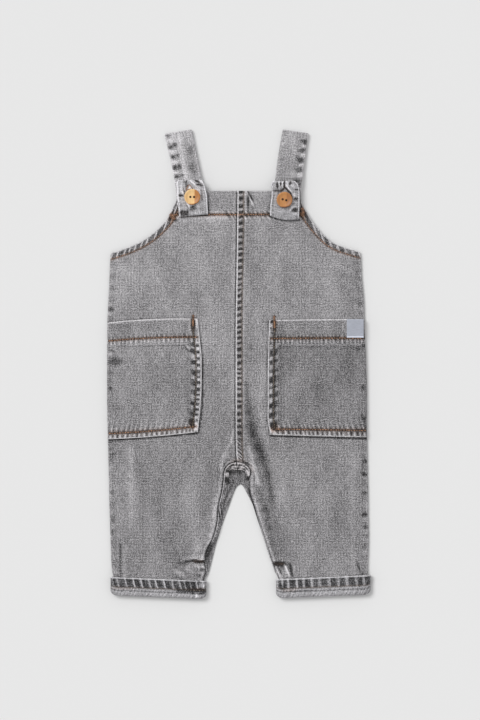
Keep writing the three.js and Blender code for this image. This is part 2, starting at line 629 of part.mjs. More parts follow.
dungarees.add(
  piece("back_left", wall(backRows(LEFT_ROWS)), DENIM),
  piece("back_right", wall(backRows(RIGHT_ROWS)), DENIM),
  piece("front_left", wall(frontLeft), DENIM),
  piece("front_right", wall(frontRight), DENIM),
  piece("inseam_left", wall(inseam.left), DENIM),
  piece("inseam_right", wall(inseam.right), DENIM),
  piece("pocket_left", wall(pocketLeft), DENIM),
  piece("pocket_right", wall(pocketRight), DENIM),
  piece("label", wall(labelRows(pocketRight)), LABEL_TAPE),
  piece("strap_left", wall(strapRows(LEFT_STRAP)), DENIM),
  piece("strap_right", wall(strapRows(RIGHT_STRAP)), DENIM),
  piece("turnup_left", wall(cuffRows(LEFT_CUFF), true), DENIM_REVERSE),
  piece("turnup_right", wall(cuffRows(RIGHT_CUFF), true), DENIM_REVERSE),
);

["button_left", "button_right"].forEach((name, k) => {
  const place = BUTTON_PLACES[k];
  const button = piece(name, buttonGeometry(place.turn), WOOD);
  button.position.set(place.x, place.y, place.base);
  dungarees.add(button);
});

export default dungarees;
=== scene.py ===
"""Kids dungarees laid flat on their back: the cloth, sewing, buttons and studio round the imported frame."""

import math

import bmesh
import bpy
import numpy as np
from bpy.props import FloatProperty, FloatVectorProperty, PointerProperty
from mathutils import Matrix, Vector


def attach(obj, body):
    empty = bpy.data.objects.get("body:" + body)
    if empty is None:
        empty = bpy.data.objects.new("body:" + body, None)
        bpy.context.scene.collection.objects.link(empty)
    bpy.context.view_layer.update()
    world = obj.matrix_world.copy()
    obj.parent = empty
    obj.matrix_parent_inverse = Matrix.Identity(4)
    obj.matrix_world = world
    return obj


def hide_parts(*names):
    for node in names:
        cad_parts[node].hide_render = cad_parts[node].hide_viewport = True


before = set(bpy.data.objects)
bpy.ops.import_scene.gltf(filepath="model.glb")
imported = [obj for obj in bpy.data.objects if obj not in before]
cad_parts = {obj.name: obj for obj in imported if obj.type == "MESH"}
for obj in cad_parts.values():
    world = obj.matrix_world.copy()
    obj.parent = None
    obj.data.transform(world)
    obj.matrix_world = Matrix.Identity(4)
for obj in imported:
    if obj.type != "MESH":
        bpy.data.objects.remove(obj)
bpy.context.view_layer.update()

bl_info = {
    "name": "Kids dungarees",
    "version": (1, 0, 0),
    "blender": (4, 5, 0),
    "location": "View3D > Sidebar > Dungarees",
    "description": "Builds washed denim dungarees laid flat, piece by piece",
    "category": "Object",
}

MM = 0.001
SIDES = ("left", "right")

# Sizes of the cloth, in millimetres
CLOTH = 1.4
SEAM_GAP = 0.3
LAY_GAP = 0.2
CROWN_REACH = 24
EDGE_ROUND = 0.7
HEM_RISE = 0.8
BIB_TOP = 173.0
BIB_HEM = 23.8
SEAM_BAND = 7.0
BACK_DROP = 1.5
BACK_INSET = 0.8
POCKET_RISE = 0.7
POCKET_BORDER = 5.6
POCKET_HEM = 18.6
POCKET_FOOT = 6.0
FELL_RISE = 2.3
FELL_GAP = 0.4
FELL_LEAST = 0.8
STRAP_CLOTH = 1.9
STRAP_FLOOR = 0.95
STRAP_END_HEIGHT = 8.65
FOLD_RADIUS = 1.15
CUFF_HALF_HEIGHT = 4.0
CUFF_CORNER = 7.0
CUFF_CORNER_LIFT = 3.6
LABEL_CLOTH = 0.8

# How far in from each seam's edge its stitches run
ARMHOLE_STITCH = 5.8
BORDER_STITCH = 5.8
CENTRE_STITCH = 6.5
CUFF_STITCH = 9.6

# Heights of the stack at a strap's front run, from its fold at the shoulder down to the bib
FRONT_RUN_HEIGHTS = [3.25, 3.25, 3.9, 5.9, 6.35, 6.35, 6.35]

# A front and the back under it, from the bib down to the turn-up, as columns.
# outer: the edge at the side. front: the front's inner edge. back: the back's inner edge.
EDGE_NAMES = ("outer_x", "outer_y", "front_x", "front_y", "back_x", "back_y")

PANEL_ROWS = {
    "left": [
        (-62.5, 173, -2.1, 173, 1.3, 171.5), (-62.5, 164.2, -2.2, 164, 1.3, 164),
        (-65, 158.9, -2.2, 157, 1.3, 157), (-69, 149.4, -2.3, 149.4, 1.3, 149.4),
        (-72, 144.5, -2.4, 142, 1.3, 142), (-79.7, 135.9, -2.5, 132, 1.3, 132),
        (-87.3, 129.2, -2.6, 122, 1.3, 122), (-95.9, 123.4, -2.7, 112, 1.3, 112),
        (-107.4, 117.7, -2.9, 101, 1.3, 101), (-118.9, 113.4, -3.1, 90, 1.3, 90),
        (-128, 110.5, -3.3, 80, 1.3, 80), (-128.8, 102, -3.4, 70, 1.3, 70), (-129.5, 84, -3.7, 58, 1.3, 58),
        (-130.7, 62, -3.8, 45, 1.3, 45), (-131.5, 42, -3.9, 31, 1.3, 31), (-131.8, 22, -3.9, 16, 1.3, 16),
        (-131.8, 2, -3.9, 0, 1.3, 0), (-131.8, -18, -3.9, -18, 1.3, -18),
        (-131.8, -38, -3.9, -37, 1.3, -37), (-131.4, -58, -3.9, -55, 1.3, -55),
        (-131.1, -75, -3.8, -71, 1.3, -71), (-130.7, -88, -3.5, -85, 1.3, -86),
        (-130.4, -100, -2.8, -97, 1.3, -99), (-130.1, -111, -10.2, -99.3, 1.3, -111),
        (-129.9, -122, -14.6, -105, 1.4, -120), (-129.7, -133, -15.9, -116, -2.2, -122.6),
        (-129.3, -146, -17.4, -127, -5.4, -129), (-128.9, -159, -20.8, -142, -9.7, -141),
        (-128.5, -172, -22.5, -160, -15.2, -156), (-128.1, -185, -26.6, -174.5, -19.9, -170),
        (-127.7, -196, -32.4, -188, -24, -184), (-127.2, -203, -34.1, -198, -27, -196),
        (-126.6, -208, -33.2, -207.5, -30.8, -209.5), (-125.2, -213, -35.8, -216, -36, -216.4),
        (-125.2, -227.4, -35.8, -230.6, -36, -230.6),
    ],
    "right": [
        (62.5, 173, -1.8, 173, 1.6, 171.5), (62.2, 164.2, -1.9, 164, 1.6, 164),
        (63.5, 158.5, -1.9, 157, 1.6, 157), (68.9, 149.4, -2, 149.4, 1.6, 149.4),
        (71.8, 144.5, -2.1, 142, 1.6, 142), (78.4, 136, -2.2, 132, 1.6, 132),
        (84.7, 129, -2.3, 122, 1.6, 122), (91.5, 123.1, -2.4, 112, 1.6, 112),
        (99.6, 118.6, -2.6, 101, 1.6, 101), (111, 114.8, -2.8, 90, 1.6, 90), (120.6, 112, -3, 80, 1.6, 80),
        (121.8, 103, -3.1, 70, 1.6, 70), (122.5, 87, -3.4, 58, 1.6, 58), (124.5, 66, -3.5, 45, 1.6, 45),
        (125.3, 44, -3.6, 31, 1.6, 31), (126.2, 22, -3.6, 16, 1.6, 16), (126.9, 2, -3.6, 0, 1.6, 0),
        (127.6, -18, -3.6, -18, 1.6, -18), (127.7, -38, -3.6, -37, 1.6, -37),
        (127.7, -58, -3.6, -55, 1.6, -55), (127.8, -75, -3.5, -71, 1.6, -71),
        (128, -88, -3.2, -85, 1.6, -86), (128.2, -100, -2.4, -97, 1.6, -99),
        (128.4, -111, 5.5, -98.8, 1.6, -111), (128.6, -122, 11.5, -105.5, 1.7, -120),
        (128.8, -133, 10.4, -116, 4.6, -123), (128.9, -146, 11.2, -127, 8.3, -130),
        (129.1, -159, 15.6, -142, 13.6, -140.5), (129.3, -172, 21.2, -160, 19.4, -154.5),
        (129.1, -185, 25.8, -174.5, 24.3, -169), (128.8, -196, 30.2, -188, 28.9, -184),
        (128.5, -203, 33.6, -198, 32.1, -195.5), (128.3, -208, 36.2, -205, 34.8, -205.5),
        (128.2, -212.5, 40.4, -216, 40.5, -216.4), (128.2, -226.6, 40.4, -228.4, 40.5, -228.4),
    ],
}

# The same rows' rise on the straps' runs, crown over the back, lift into the turn-up and armhole hem
PANEL_PROFILE = {
    "rise": [0.9] * 3 + [0.7, 0.6, 0.5, 0.4, 0.3, 0.2, 0.1] + [0] * 25,
    "crown": [0.2] * 3 + [0.4, 0.6, 0.8, 1, 1.2, 1.4, 1.6, 1.8, 1.8, 1.9] + [2] * 9 + [1.9] * 2 + [1.8] * 5
             + [1.6, 1.4, 1.2, 0.9, 0.3, 0.3],
    "lift": [0] * 32 + [0.7, 2.1, 2.1],
    "hem": [1] * 11 + [0] * 24,
}

# Width of the felled inseam beside the rows that it follows, from the crotch down
FELL_WIDTHS = {
    "left": [0] * 22 + [9, 6.8, 5.2, 4.8, 4.6, 4.4, 4, 3.4, 2.6, 2.4, 1.2, 0, 0],
    "right": [0] * 22 + [9, 8, 6, 2.6, 1.3, 0.9, 0.8, 0.8, 0.8, 0.8, 0.8, 0, 0],
}

# Numbers of the rows at which an edge has a sharp corner
ARMHOLE_CORNER = 10
CROTCH_CORNER = 22
BACK_CROTCH_CORNER = 24
RAMP_ROW = 32
CUFF_ROW = 33

# Folds of the fronts: x0, y0, x1, y1, half width, height
FOLDS = [
    (10, -16, 14, -62, 9, -0.9), (14, -62, 23, -95, 9, -1), (23, -95, 33, -148, 9, -0.8),
    (21, -30, 33, -98, 8, 0.6), (33, -98, 42, -140, 8, 0.5), (-9, -72, -16, -104, 9, 0.7),
    (-108, -86, -108, -156, 13, 0.5), (-119, -178, -119, -204, 6, -0.6), (-25, -141, -31, -186, 9, 0.6),
    (-48, -120, -60, -190, 12, 0.4), (70, -120, 84, -190, 12, 0.4), (18, 168, 30, 140, 8, 0.4),
]

# Small creases of the fronts, in the same columns
CREASES = [
    (7.7, 170.7, 13.7, 159.9, 1.5, 0.7), (10.5, 170, 13.2, 163.5, 1.4, -0.6),
    (9.6, 167, 9.8, 152, 1.8, -0.45), (12.5, 158, 15, 148, 1.8, -0.3),
    (-46, -196.5, -35, -197.6, 1.8, -1.3), (-62, -199, -46, -196.8, 2.6, -0.5),
    (-44, -201, -34.5, -203.5, 2, 0.6), (-42, -205, -36, -207, 1.6, -0.7),
    (-56, -194, -40, -192.5, 3.4, 0.6), (-58, -203, -40, -208, 3.5, 0.35),
    (34.5, -199, 45.5, -199.6, 2, -1.3), (45.2, -199.5, 50.6, -212, 1.8, 0.7),
    (50.5, -200, 53.5, -212, 2, -0.7), (38.5, -204, 42.5, -210, 1.5, -0.6),
    (41, -202.5, 45.5, -208.5, 1.5, 0.5), (54, -200, 56.5, -212, 2.4, 0.35),
    (118.6, -201, 122.6, -211.5, 1.8, -0.5), (124, -97, 129, -98, 2.4, -0.5),
    (123.5, -109.5, 129, -110.5, 2.6, -0.5), (124.5, -128, 129, -129.5, 2.2, -0.45),
    (123, -150.5, 129, -151.5, 2.6, -0.5), (124, -163, 129, -163.5, 2.2, -0.4),
    (14, -104, 20, -121, 3.2, 0.55), (16.5, -97, 24, -118, 3, -0.4), (8, -86, 14, -98, 3, 0.4),
    (-12, -90, -18, -102, 3, 0.35), (-19.5, -104, -22, -128, 3, -0.3), (-126.5, 12, -113, 1, 5, -0.3),
    (-120, 96, -105, 88, 5, 0.3), (96, 100, 112, 92, 5, 0.3),
]

# Patch pockets: outer edge, inner edge, bow of the row
POCKET_NAMES = ("outer_x", "outer_y", "inner_x", "inner_y", "bow")

POCKET_ROWS = {
    "left": [
        (-130.2, 41.5, -41.1, 45.3, 1.6), (-130.8, 23, -39.2, 26.8, 1.2), (-131.2, 7, -37.3, 6.6, 0),
        (-131.3, -8, -37.2, -8, 0), (-131.3, -24, -37.3, -23, 0), (-131.3, -40, -37.9, -37, 0),
        (-131, -56, -39.4, -54, 0), (-130.6, -69.3, -40.3, -62, -1), (-130.3, -75.2, -41.1, -68, -1),
    ],
    "right": [
        (124.8, 44.9, 30.1, 43.9, 0.3), (125.6, 27.6, 29.4, 27.1, 0.3), (126.2, 12, 29.1, 12, 0),
        (126.7, -6, 28.8, -6, 0), (127, -24, 28.7, -24, 0), (127.2, -40, 28.7, -41, 0),
        (127.2, -54, 28.7, -56, 0), (127.2, -66.6, 30.3, -65, 0), (127.2, -73.2, 31.5, -70.7, -0.3),
    ],
}

# Straps: left edge, right edge, bow of the row. The back run starts at the root and goes up over the
# front run's first three rows, and the turned-up end starts at its last one.
STRAP_NAMES = ("left_x", "left_y", "right_x", "right_y", "bow")

STRAPS = {
    "left": {
        "root": (-62.6, 172, -36.5, 172, 0),
        "front_run": [
            (-74.1, 228, -46.8, 232.3, 0), (-70.3, 211, -43, 213.5, 0), (-66, 192, -38.7, 192, 0),
            (-64.2, 181, -37, 181, 0), (-63.4, 174.5, -35.8, 174.5, 0), (-61, 158, -32.5, 160, 0),
            (-59.7, 149, -31, 151.4, 0),
        ],
        "end": [
            (-60.4, 158.9, -31.5, 161, 0), (-61.5, 167, -31.8, 167, 0), (-62, 175, -33.5, 175, 0),
            (-62.3, 180, -35, 180, 0), (-61, 183.4, -37, 183.6, 0),
        ],
        "streak": 1.0,
    },
    "right": {
        "root": (34.9, 172, 61.6, 172, 0),
        "front_run": [
            (43.4, 232.3, 69.1, 228.5, 0), (40, 213.5, 66.7, 211, 0), (37, 192, 64.3, 192, 0),
            (35.7, 181, 62.6, 181, 0), (34.7, 174.5, 61.5, 174.5, 0), (32.5, 158, 60.6, 158, -1),
            (31, 150.2, 59.9, 146.6, -2.6),
        ],
        "end": [
            (31.4, 158.9, 60.2, 158, -1), (32.3, 167, 60.3, 167, 0), (32.5, 175, 60, 174.5, 0),
            (32.1, 180, 58.2, 180, 0), (34.5, 182.6, 55.5, 182.6, 0),
        ],
        "streak": 0.4,
    },
}

# Marks worn into the straps' front runs beside one edge: x, y, half width, half height, turn, tone
STRAP_MARKS = {
    "left": [
        (-71.3, 228.6, 2.8, 2, -10, -0.75), (-68.7, 216.5, 2.3, 2.1, -10, -1.2),
        (-63.9, 219, 2.4, 2, 0, -1), (-66.6, 217.6, 4.8, 3.2, -12, -0.35), (-66, 206.7, 2.2, 2, -8, -1.2),
        (-61.2, 208.6, 1.7, 2.1, 0, -0.75), (-63.8, 207.4, 4.8, 3.2, -12, -0.35),
        (-64.2, 196, 2.3, 2.4, -5, -1.2), (-59.5, 197.2, 2, 2.9, 0, -0.9), (-62, 196.4, 5, 4, -10, -0.35),
        (-62.2, 187.2, 2.8, 1.9, 0, -1.3), (-56.8, 188.4, 2.5, 1.7, 0, -0.9),
        (-48, 213.2, 4, 4.4, 10, -0.42), (-46, 195.4, 4.4, 5.6, 8, -0.38), (-68, 223.2, 3, 2.1, 0, 0.4),
        (-66.6, 211.7, 3, 1.5, 0, 0.5), (-64.2, 201.8, 3, 1.8, 0, 0.5), (-62.6, 191.2, 3, 1.2, 0, 0.45),
        (-58, 225, 2.4, 3, 0, 0.2), (-52.5, 190, 2.2, 5, 0, 0.2), (-44, 182, 4, 2, 0, -0.2),
    ],
    "right": [
        (66, 221.6, 2.7, 3, 8, -1.1), (62.6, 223, 1.5, 1.7, 0, -0.45), (63.8, 213.2, 3.4, 2.4, 8, -0.95),
        (59.8, 213.2, 1.6, 1.4, 0, -0.4), (61.9, 203.3, 3.8, 3, 6, -1), (58.5, 206.5, 1.9, 1.9, 0, -0.5),
        (60.5, 193.9, 3.6, 2.7, 5, -0.9), (58, 183.2, 5.2, 2.5, 0, -0.9), (60.5, 179, 1.8, 2.8, 0, -0.9),
        (51, 184.9, 4, 0.9, 0, -0.5), (65, 217.9, 2.6, 1.2, 8, 0.5), (63.6, 209, 2.6, 1.4, 8, 0.5),
        (62.3, 199.4, 2.6, 1.5, 6, 0.5), (60.3, 189.2, 2.8, 2.1, 5, 0.5), (55.4, 216, 2.4, 7, 0, 0.12),
        (52, 199, 5, 9, 0, -0.1), (46, 222, 2.5, 5, 0, 0.12), (42.5, 205, 2, 9, 0, -0.12),
    ],
}

# Marks of the straps' turned-up ends, in the same columns: most are worn into the cloth, and the dark ones
# along the left end's top edge at its right corner are painted shadow where the end stands off the strap
END_MARKS_AND_SHADOWS = {
    "left": [
        (-42.6, 183, 4.6, 1.2, -33, -1.6), (-49, 175.8, 1.3, 1.2, 0, 1.1),
        (-40.6, 178.9, 2.2, 0.9, 0, -1.2), (-37.6, 178, 2, 0.8, -8, -0.9), (-45.8, 180.5, 4, 0.7, -40, 0.9),
        (-37.8, 181.6, 1.4, 1.2, 0, 0.7), (-52.6, 182, 1.1, 2.4, -25, -0.9),
        (-54.8, 182.2, 0.8, 1.8, 0, -0.6), (-52.2, 177.6, 1.6, 2.2, 0, -0.75),
        (-58.2, 168.2, 2.9, 1.2, -4, -1.3), (-57.4, 175.5, 2.6, 5, 0, 0.25),
        (-54.8, 172.6, 0.6, 4.2, 12, -0.9), (-56.2, 170.6, 0.7, 2.2, 20, 0.6),
        (-55.6, 150.8, 4, 2.4, 0, -1.35), (-51.4, 151.4, 1.4, 2.8, 0, -0.8),
        (-45.6, 155, 4.4, 2.4, 12, -0.7), (-50.6, 158.8, 0.8, 3.6, 28, 0.9),
        (-52.2, 158.2, 0.7, 3, 25, -0.5), (-56.6, 158.4, 3.2, 3.6, 0, -0.12),
        (-46.6, 158.6, 2.4, 0.7, 8, 0.9), (-47, 156.9, 3, 0.8, 8, -0.5), (-37, 168.6, 0.9, 7, 4, -0.55),
        (-38.8, 167, 0.8, 6, 4, 0.35), (-41.6, 159.4, 1.6, 4, 0, 0.35), (-36.8, 155, 2.4, 3, 0, -0.35),
        (-61.2, 172, 1.2, 11, 5, 0.7), (-60.4, 160.6, 0.5, 5.4, 10, -0.6), (-42, 173.6, 2, 3, -30, 0.3),
    ],
    "right": [
        (38.3, 178.2, 1.1, 3, 3, -1.3), (41.6, 179.8, 0.8, 1.9, 0, -1.1), (45.2, 179.4, 0.8, 4.6, -4, -1.5),
        (51.2, 180.4, 1, 2, -15, -1.5), (43.4, 179.4, 0.7, 3, 0, 0.9), (40, 180.2, 0.6, 2.2, 0, 0.7),
        (48, 179, 1.4, 3.2, 10, 0.6), (37.2, 172.9, 4.8, 0.8, -2, -1), (48.4, 173.4, 0.8, 4.4, 40, -1.2),
        (52.2, 168.6, 0.7, 3.6, 25, -1), (42.4, 173.4, 0.8, 2.6, -48, -1.2),
        (50.2, 174.4, 0.6, 4.6, 40, 0.8), (57.4, 174, 1.8, 0.8, 0, -1), (56.8, 164.6, 2.2, 1.7, 0, -0.9),
        (55.8, 153.6, 3, 2, 8, -1), (54.6, 156.6, 2.4, 0.7, 15, 0.5), (51.8, 154.6, 0.7, 3.4, -25, 0.6),
        (53.6, 178, 2.4, 1.6, -30, 0.5), (55, 168.6, 1.8, 2, 0, 0.45), (34.6, 176.6, 1.2, 4.2, 0, 0.3),
        (36.4, 163, 2, 6, 0, 0.12), (44, 152, 5, 2.4, 0, 0.25), (55.2, 149.8, 3, 1.2, 0, 0.4),
        (40, 168, 0.8, 4, 15, -0.3),
    ],
}

# Tone of the fronts beside their seams, with painted shadows under the strap ends, outside the pockets'
# edges, in the crease right of the centre seam and at the crotch: x0, y0, x1, y1, half width, tone
FRONT_TONE_AND_SHADOWS = [
    (7.2, -20, 9.5, -48, 5, -0.32), (9.5, -48, 14, -70, 6.5, -0.32), (14, -70, 20, -84, 7.5, -0.3),
    (20, -84, 29, -110, 8, -0.3), (29, -110, 33, -136, 6.5, -0.3), (33, -136, 41, -188, 9, -0.14),
    (13, -60, 24, -92, 11, -0.12), (30, -116, 33.5, -134, 2, -0.22), (10.4, -84, 16, -104, 2.6, 0.34),
    (16, -104, 19.5, -119, 4, 0.26), (20.5, -124, 26.5, -146, 5.5, -0.34),
    (26.5, -146, 35, -188, 5.5, -0.28), (38, -96, 46, -130, 7, 0.12), (-5.5, -66, -8, -78, 2.2, 0.36),
    (-8, -78, -16, -92, 2.6, 0.36), (-16, -92, -18.4, -106, 2.6, 0.28), (-22, -120, -25, -150, 5, 0.26),
    (-25, -150, -29, -184, 6, 0.24), (-11, -80, -19, -96, 6, -0.12), (-59.4, 146.4, -31, 148.8, 1.2, -1.1),
    (30.6, 147.6, 36, 145.6, 1.2, -1.1), (36, 145.6, 46, 144, 1.3, -1.2), (46, 144, 60, 143.8, 1.3, -1.2),
    (-33, 174, -30.2, 151, 1.5, -0.7), (61.4, 168, 61.8, 150, 1.4, -0.6), (32.2, 173, 30.2, 150, 1, -0.3),
    (-61.8, 158, -61.4, 148, 1.3, -0.5), (-118.6, -180, -118.4, -213, 1.8, -0.6),
    (-114.5, -182, -114, -212, 2.6, 0.16), (-108, -84, -107, -156, 4.5, 0.2),
    (-100, -100, -97, -170, 8, -0.1), (-60, -110, -68, -190, 12, -0.1), (62, -110, 70, -200, 12, 0.08),
    (92, -92, 98, -190, 10, -0.1), (113, -96, 114, -205, 5, 0.12), (-54, -184, -58, -212, 12, -0.12),
    (-40, -178, -52, -208, 6, 0.2), (-64, -206, -54, -212, 4, 0.3), (-130.3, -76.1, -86, -73.4, 1.3, -1.3),
    (-86, -73.4, -41, -69, 1.3, -1.3), (31.5, -71.8, 127.2, -74.4, 1.3, -1.3),
    (-38.6, 26, -36, 0, 1.2, -0.9), (-36, 0, -36, -35, 1.2, -1.1), (-36, -35, -38.2, -55, 1.2, -1),
    (-38.2, -55, -40.2, -67, 1.2, -0.9), (29, 43, 27.8, 0, 0.9, -0.6), (27.8, 0, 27.6, -50, 0.9, -0.7),
    (27.6, -50, 29.4, -66, 0.9, -0.7), (-130.6, 41.6, -98, 44.8, 1, -0.5),
    (-98, 44.8, -42, 46.4, 0.9, -0.4), (-10.5, -101.4, -3, -97.8, 1.3, -1.1),
    (4, -97.2, 9.8, -100.2, 1.2, -1), (100, 92, 118, 30, 12, -0.14), (-4.5, 168, -5.5, -90, 3.5, 0.1),
    (12, 150, 12, -10, 6, -0.1), (-30, 140, -30, 40, 14, 0.05), (-122, 100, -122, 50, 8, 0.06),
    (60, 130, 60, 60, 20, -0.05), (-70, -68, -50, -150, 14, 0.05), (9.6, 166, 9.6, 171, 1.2, -0.8),
]

# Small dark and pale marks of the fronts, among them a painted shadow in the deep fold beside the left leg's
# inseam: x, y, half width, half height, turn, tone
FRONT_MARKS_AND_SHADOWS = [
    (-66.4, 147, 4, 5.2, -35, -1.1), (-62.8, 143.6, 2, 1.6, -30, -0.8), (63.6, 151.4, 3.6, 6.6, 14, -1.2),
    (-45.6, 47.4, 1.6, 2, 0, -0.7), (35.2, 47.2, 1.6, 2, 0, -0.7), (40.2, -200.4, 5.6, 2, 0, -1.3),
    (-40.6, -197.4, 6.4, 1.5, -4, -1.2), (-40, -194.9, 5.5, 0.7, -4, 0.7), (-31.2, -185.5, 2, 7, -22, -1.3),
    (10.6, -107.5, 1.5, 3.4, 20, -0.9), (-13.2, -108, 1.2, 5, -20, -0.7), (9, 161.5, 1.2, 6.5, 0, -0.8),
    (12.4, 165.6, 1.5, 4.2, 26, -0.75), (10.6, 166.4, 0.6, 6, 28, 0.9), (13.5, 160, 0.9, 4.6, 25, 0.5),
    (-2.6, 169, 0.8, 4, 0, 0.2), (5.6, 168.5, 1, 3.6, 0, 0.45), (-40.4, -196.9, 6.2, 1.3, -6, -2.2),
    (-38.6, -198.6, 3.4, 0.8, -14, -0.6), (-52, -197.9, 5.2, 0.8, 8, -0.7), (-41, -195.4, 6, 0.55, -2, 0.8),
    (-40.6, -203.4, 0.9, 2.8, 12, 0.8), (-43.5, -201.4, 2.6, 1.6, 0, 0.3),
    (-36.4, -205.5, 3, 0.9, 14, -0.9), (-36.6, -202.7, 2.2, 0.7, 10, 0.6),
    (-43, -206.5, 2.4, 0.8, -30, -0.4), (-36.4, -193, 0.7, 3.4, -14, 0.7), (-40, -211.5, 5, 0.7, -3, -0.9),
    (-60, -208.5, 3, 2.6, 0, 0.3), (39.8, -199.3, 5.8, 2.1, 0, -2.4), (39.8, -197.9, 5.6, 0.5, 0, 0.5),
    (47.6, -205.2, 0.9, 7, 24, 1.2), (47.6, -208.6, 1.6, 3.4, 24, 0.3), (52.3, -205.5, 1.5, 7, 8, -0.85),
    (43, -205, 3.4, 3.6, 0, -0.25), (38.4, -206.6, 0.7, 3, 28, 0.7), (40.9, -206.4, 0.7, 3.2, 24, -0.5),
    (48.6, -203, 0.8, 5, 6, -0.3), (53.8, -206, 1.2, 5, 6, 0.35), (-10.5, -99.5, 4.5, 1.5, 42, 0.5),
    (-14.6, -101, 0.9, 4, -22, -0.6), (-3.4, -96.6, 2.4, 0.8, 12, -0.8), (12.6, -100, 4, 1.1, -46, 0.55),
    (9, -99.6, 3, 0.8, -40, -0.7), (14.8, -110, 1.1, 4.5, 12, -0.6), (119, -201, 1, 5.2, 20, -0.55),
    (126, -97.5, 3, 1.6, 0, -0.6), (125.8, -110, 3.4, 2.2, 0, -0.5), (126.5, -128.5, 3, 2.2, 0, -0.45),
    (125.4, -151, 3.4, 2.4, 0, -0.5), (126.6, -163.5, 2.8, 1.8, 0, -0.4), (-127, 76, 3.5, 1.8, 0, -0.35),
    (-127.5, 54, 3, 2.4, 0, -0.5), (-126.5, -90, 3, 2, 0, -0.3), (-127, -128, 2.4, 2, 0, -0.35),
    (-127, -168, 2.2, 2.6, 0, -0.3), (121, 60, 3, 2.6, 0, -0.3),
]

# Marks and brown cast of the turn-ups, where the inseam is caught in them
TURNUP_MARKS = [
    (-43, -226, 11, 1.6, -2, -2), (-50, -219.5, 7, 4, 0, -0.35), (-36.4, -220.8, 4.6, 3.6, 0, 0.85),
    (-55, -226.6, 9, 1.7, -2, -0.9), (-42.5, -231.6, 1.6, 1.8, 0, 0.9), (-46, -229, 1.2, 1.4, 0, -0.8),
    (-37, -229, 3, 0.8, 0, -0.9), (-38, -214.4, 3.5, 0.7, 0, -1), (-40, -216.6, 1.4, 1, -20, -1),
    (44, -222.5, 2.4, 4, 0, -0.5), (60, -226.5, 14, 0.7, 3, -0.4),
]
TURNUP_RUST = [(-42, -224.8, 9, 1.6, -2, 0.6), (-118, -224, 12, 1, -2, 0.3), (50, -226, 8, 1.4, 3, 0.35)]

# Dark and pale marks of the inseam's roll, in the same columns; the darkest are painted shadow in the gaps
# beside and under the roll
INSEAM_MARKS_AND_SHADOWS = [
    (-11.6, -117, 1.8, 3.4, 20, -5.5), (9.8, -114, 2.7, 1.6, 32, -5.5), (9.6, -110.6, 1.6, 1.6, 0, 1.4),
    (-11.2, -110.6, 1.8, 2.6, -30, 0.8), (-5.2, -108.3, 6.6, 0.9, -9, -5), (3.4, -109.6, 4, 0.8, -12, -2.4),
    (-30.9, -187, 2, 7.4, -26, -4), (-33.5, -197, 1.2, 4, -15, -0.8), (-7.5, -101.5, 3.4, 0.8, 40, -1.8),
    (-5, -103.2, 2.2, 1.6, 0, 0.7), (2.4, -103.6, 2.6, 1.4, 15, 0.6), (-1.2, -105, 0.8, 2.6, 0, -0.8),
    (8.6, -107.4, 1.4, 3, 20, 0.7), (6, -101.4, 3.2, 0.6, 25, -1), (-19.8, -149, 0.8, 5, 8, -1.2),
    (-17.6, -147, 0.7, 5, 8, -1), (-18.7, -148, 0.6, 5, 8, 0.7), (17, -139, 0.6, 4, -18, 0.8),
]

# Brown cast round the bartacks, in the same columns
RUST_MARKS = [
    (-66.4, 147, 3.6, 5.6, -35, 1), (63.6, 151.4, 3.2, 6.4, 14, 1), (-40.5, -197.2, 6.5, 1.6, -4, 0.6),
    (39.6, -199.6, 6, 1.8, 0, 0.5), (-45.6, 47, 1.6, 2.4, 0, 0.8), (35.2, 46.5, 1.6, 2.4, 0, 0.8),
    (-1, -98, 7, 3.4, 0, 0.5), (12.2, -104, 2.5, 5, 20, 0.2),
]

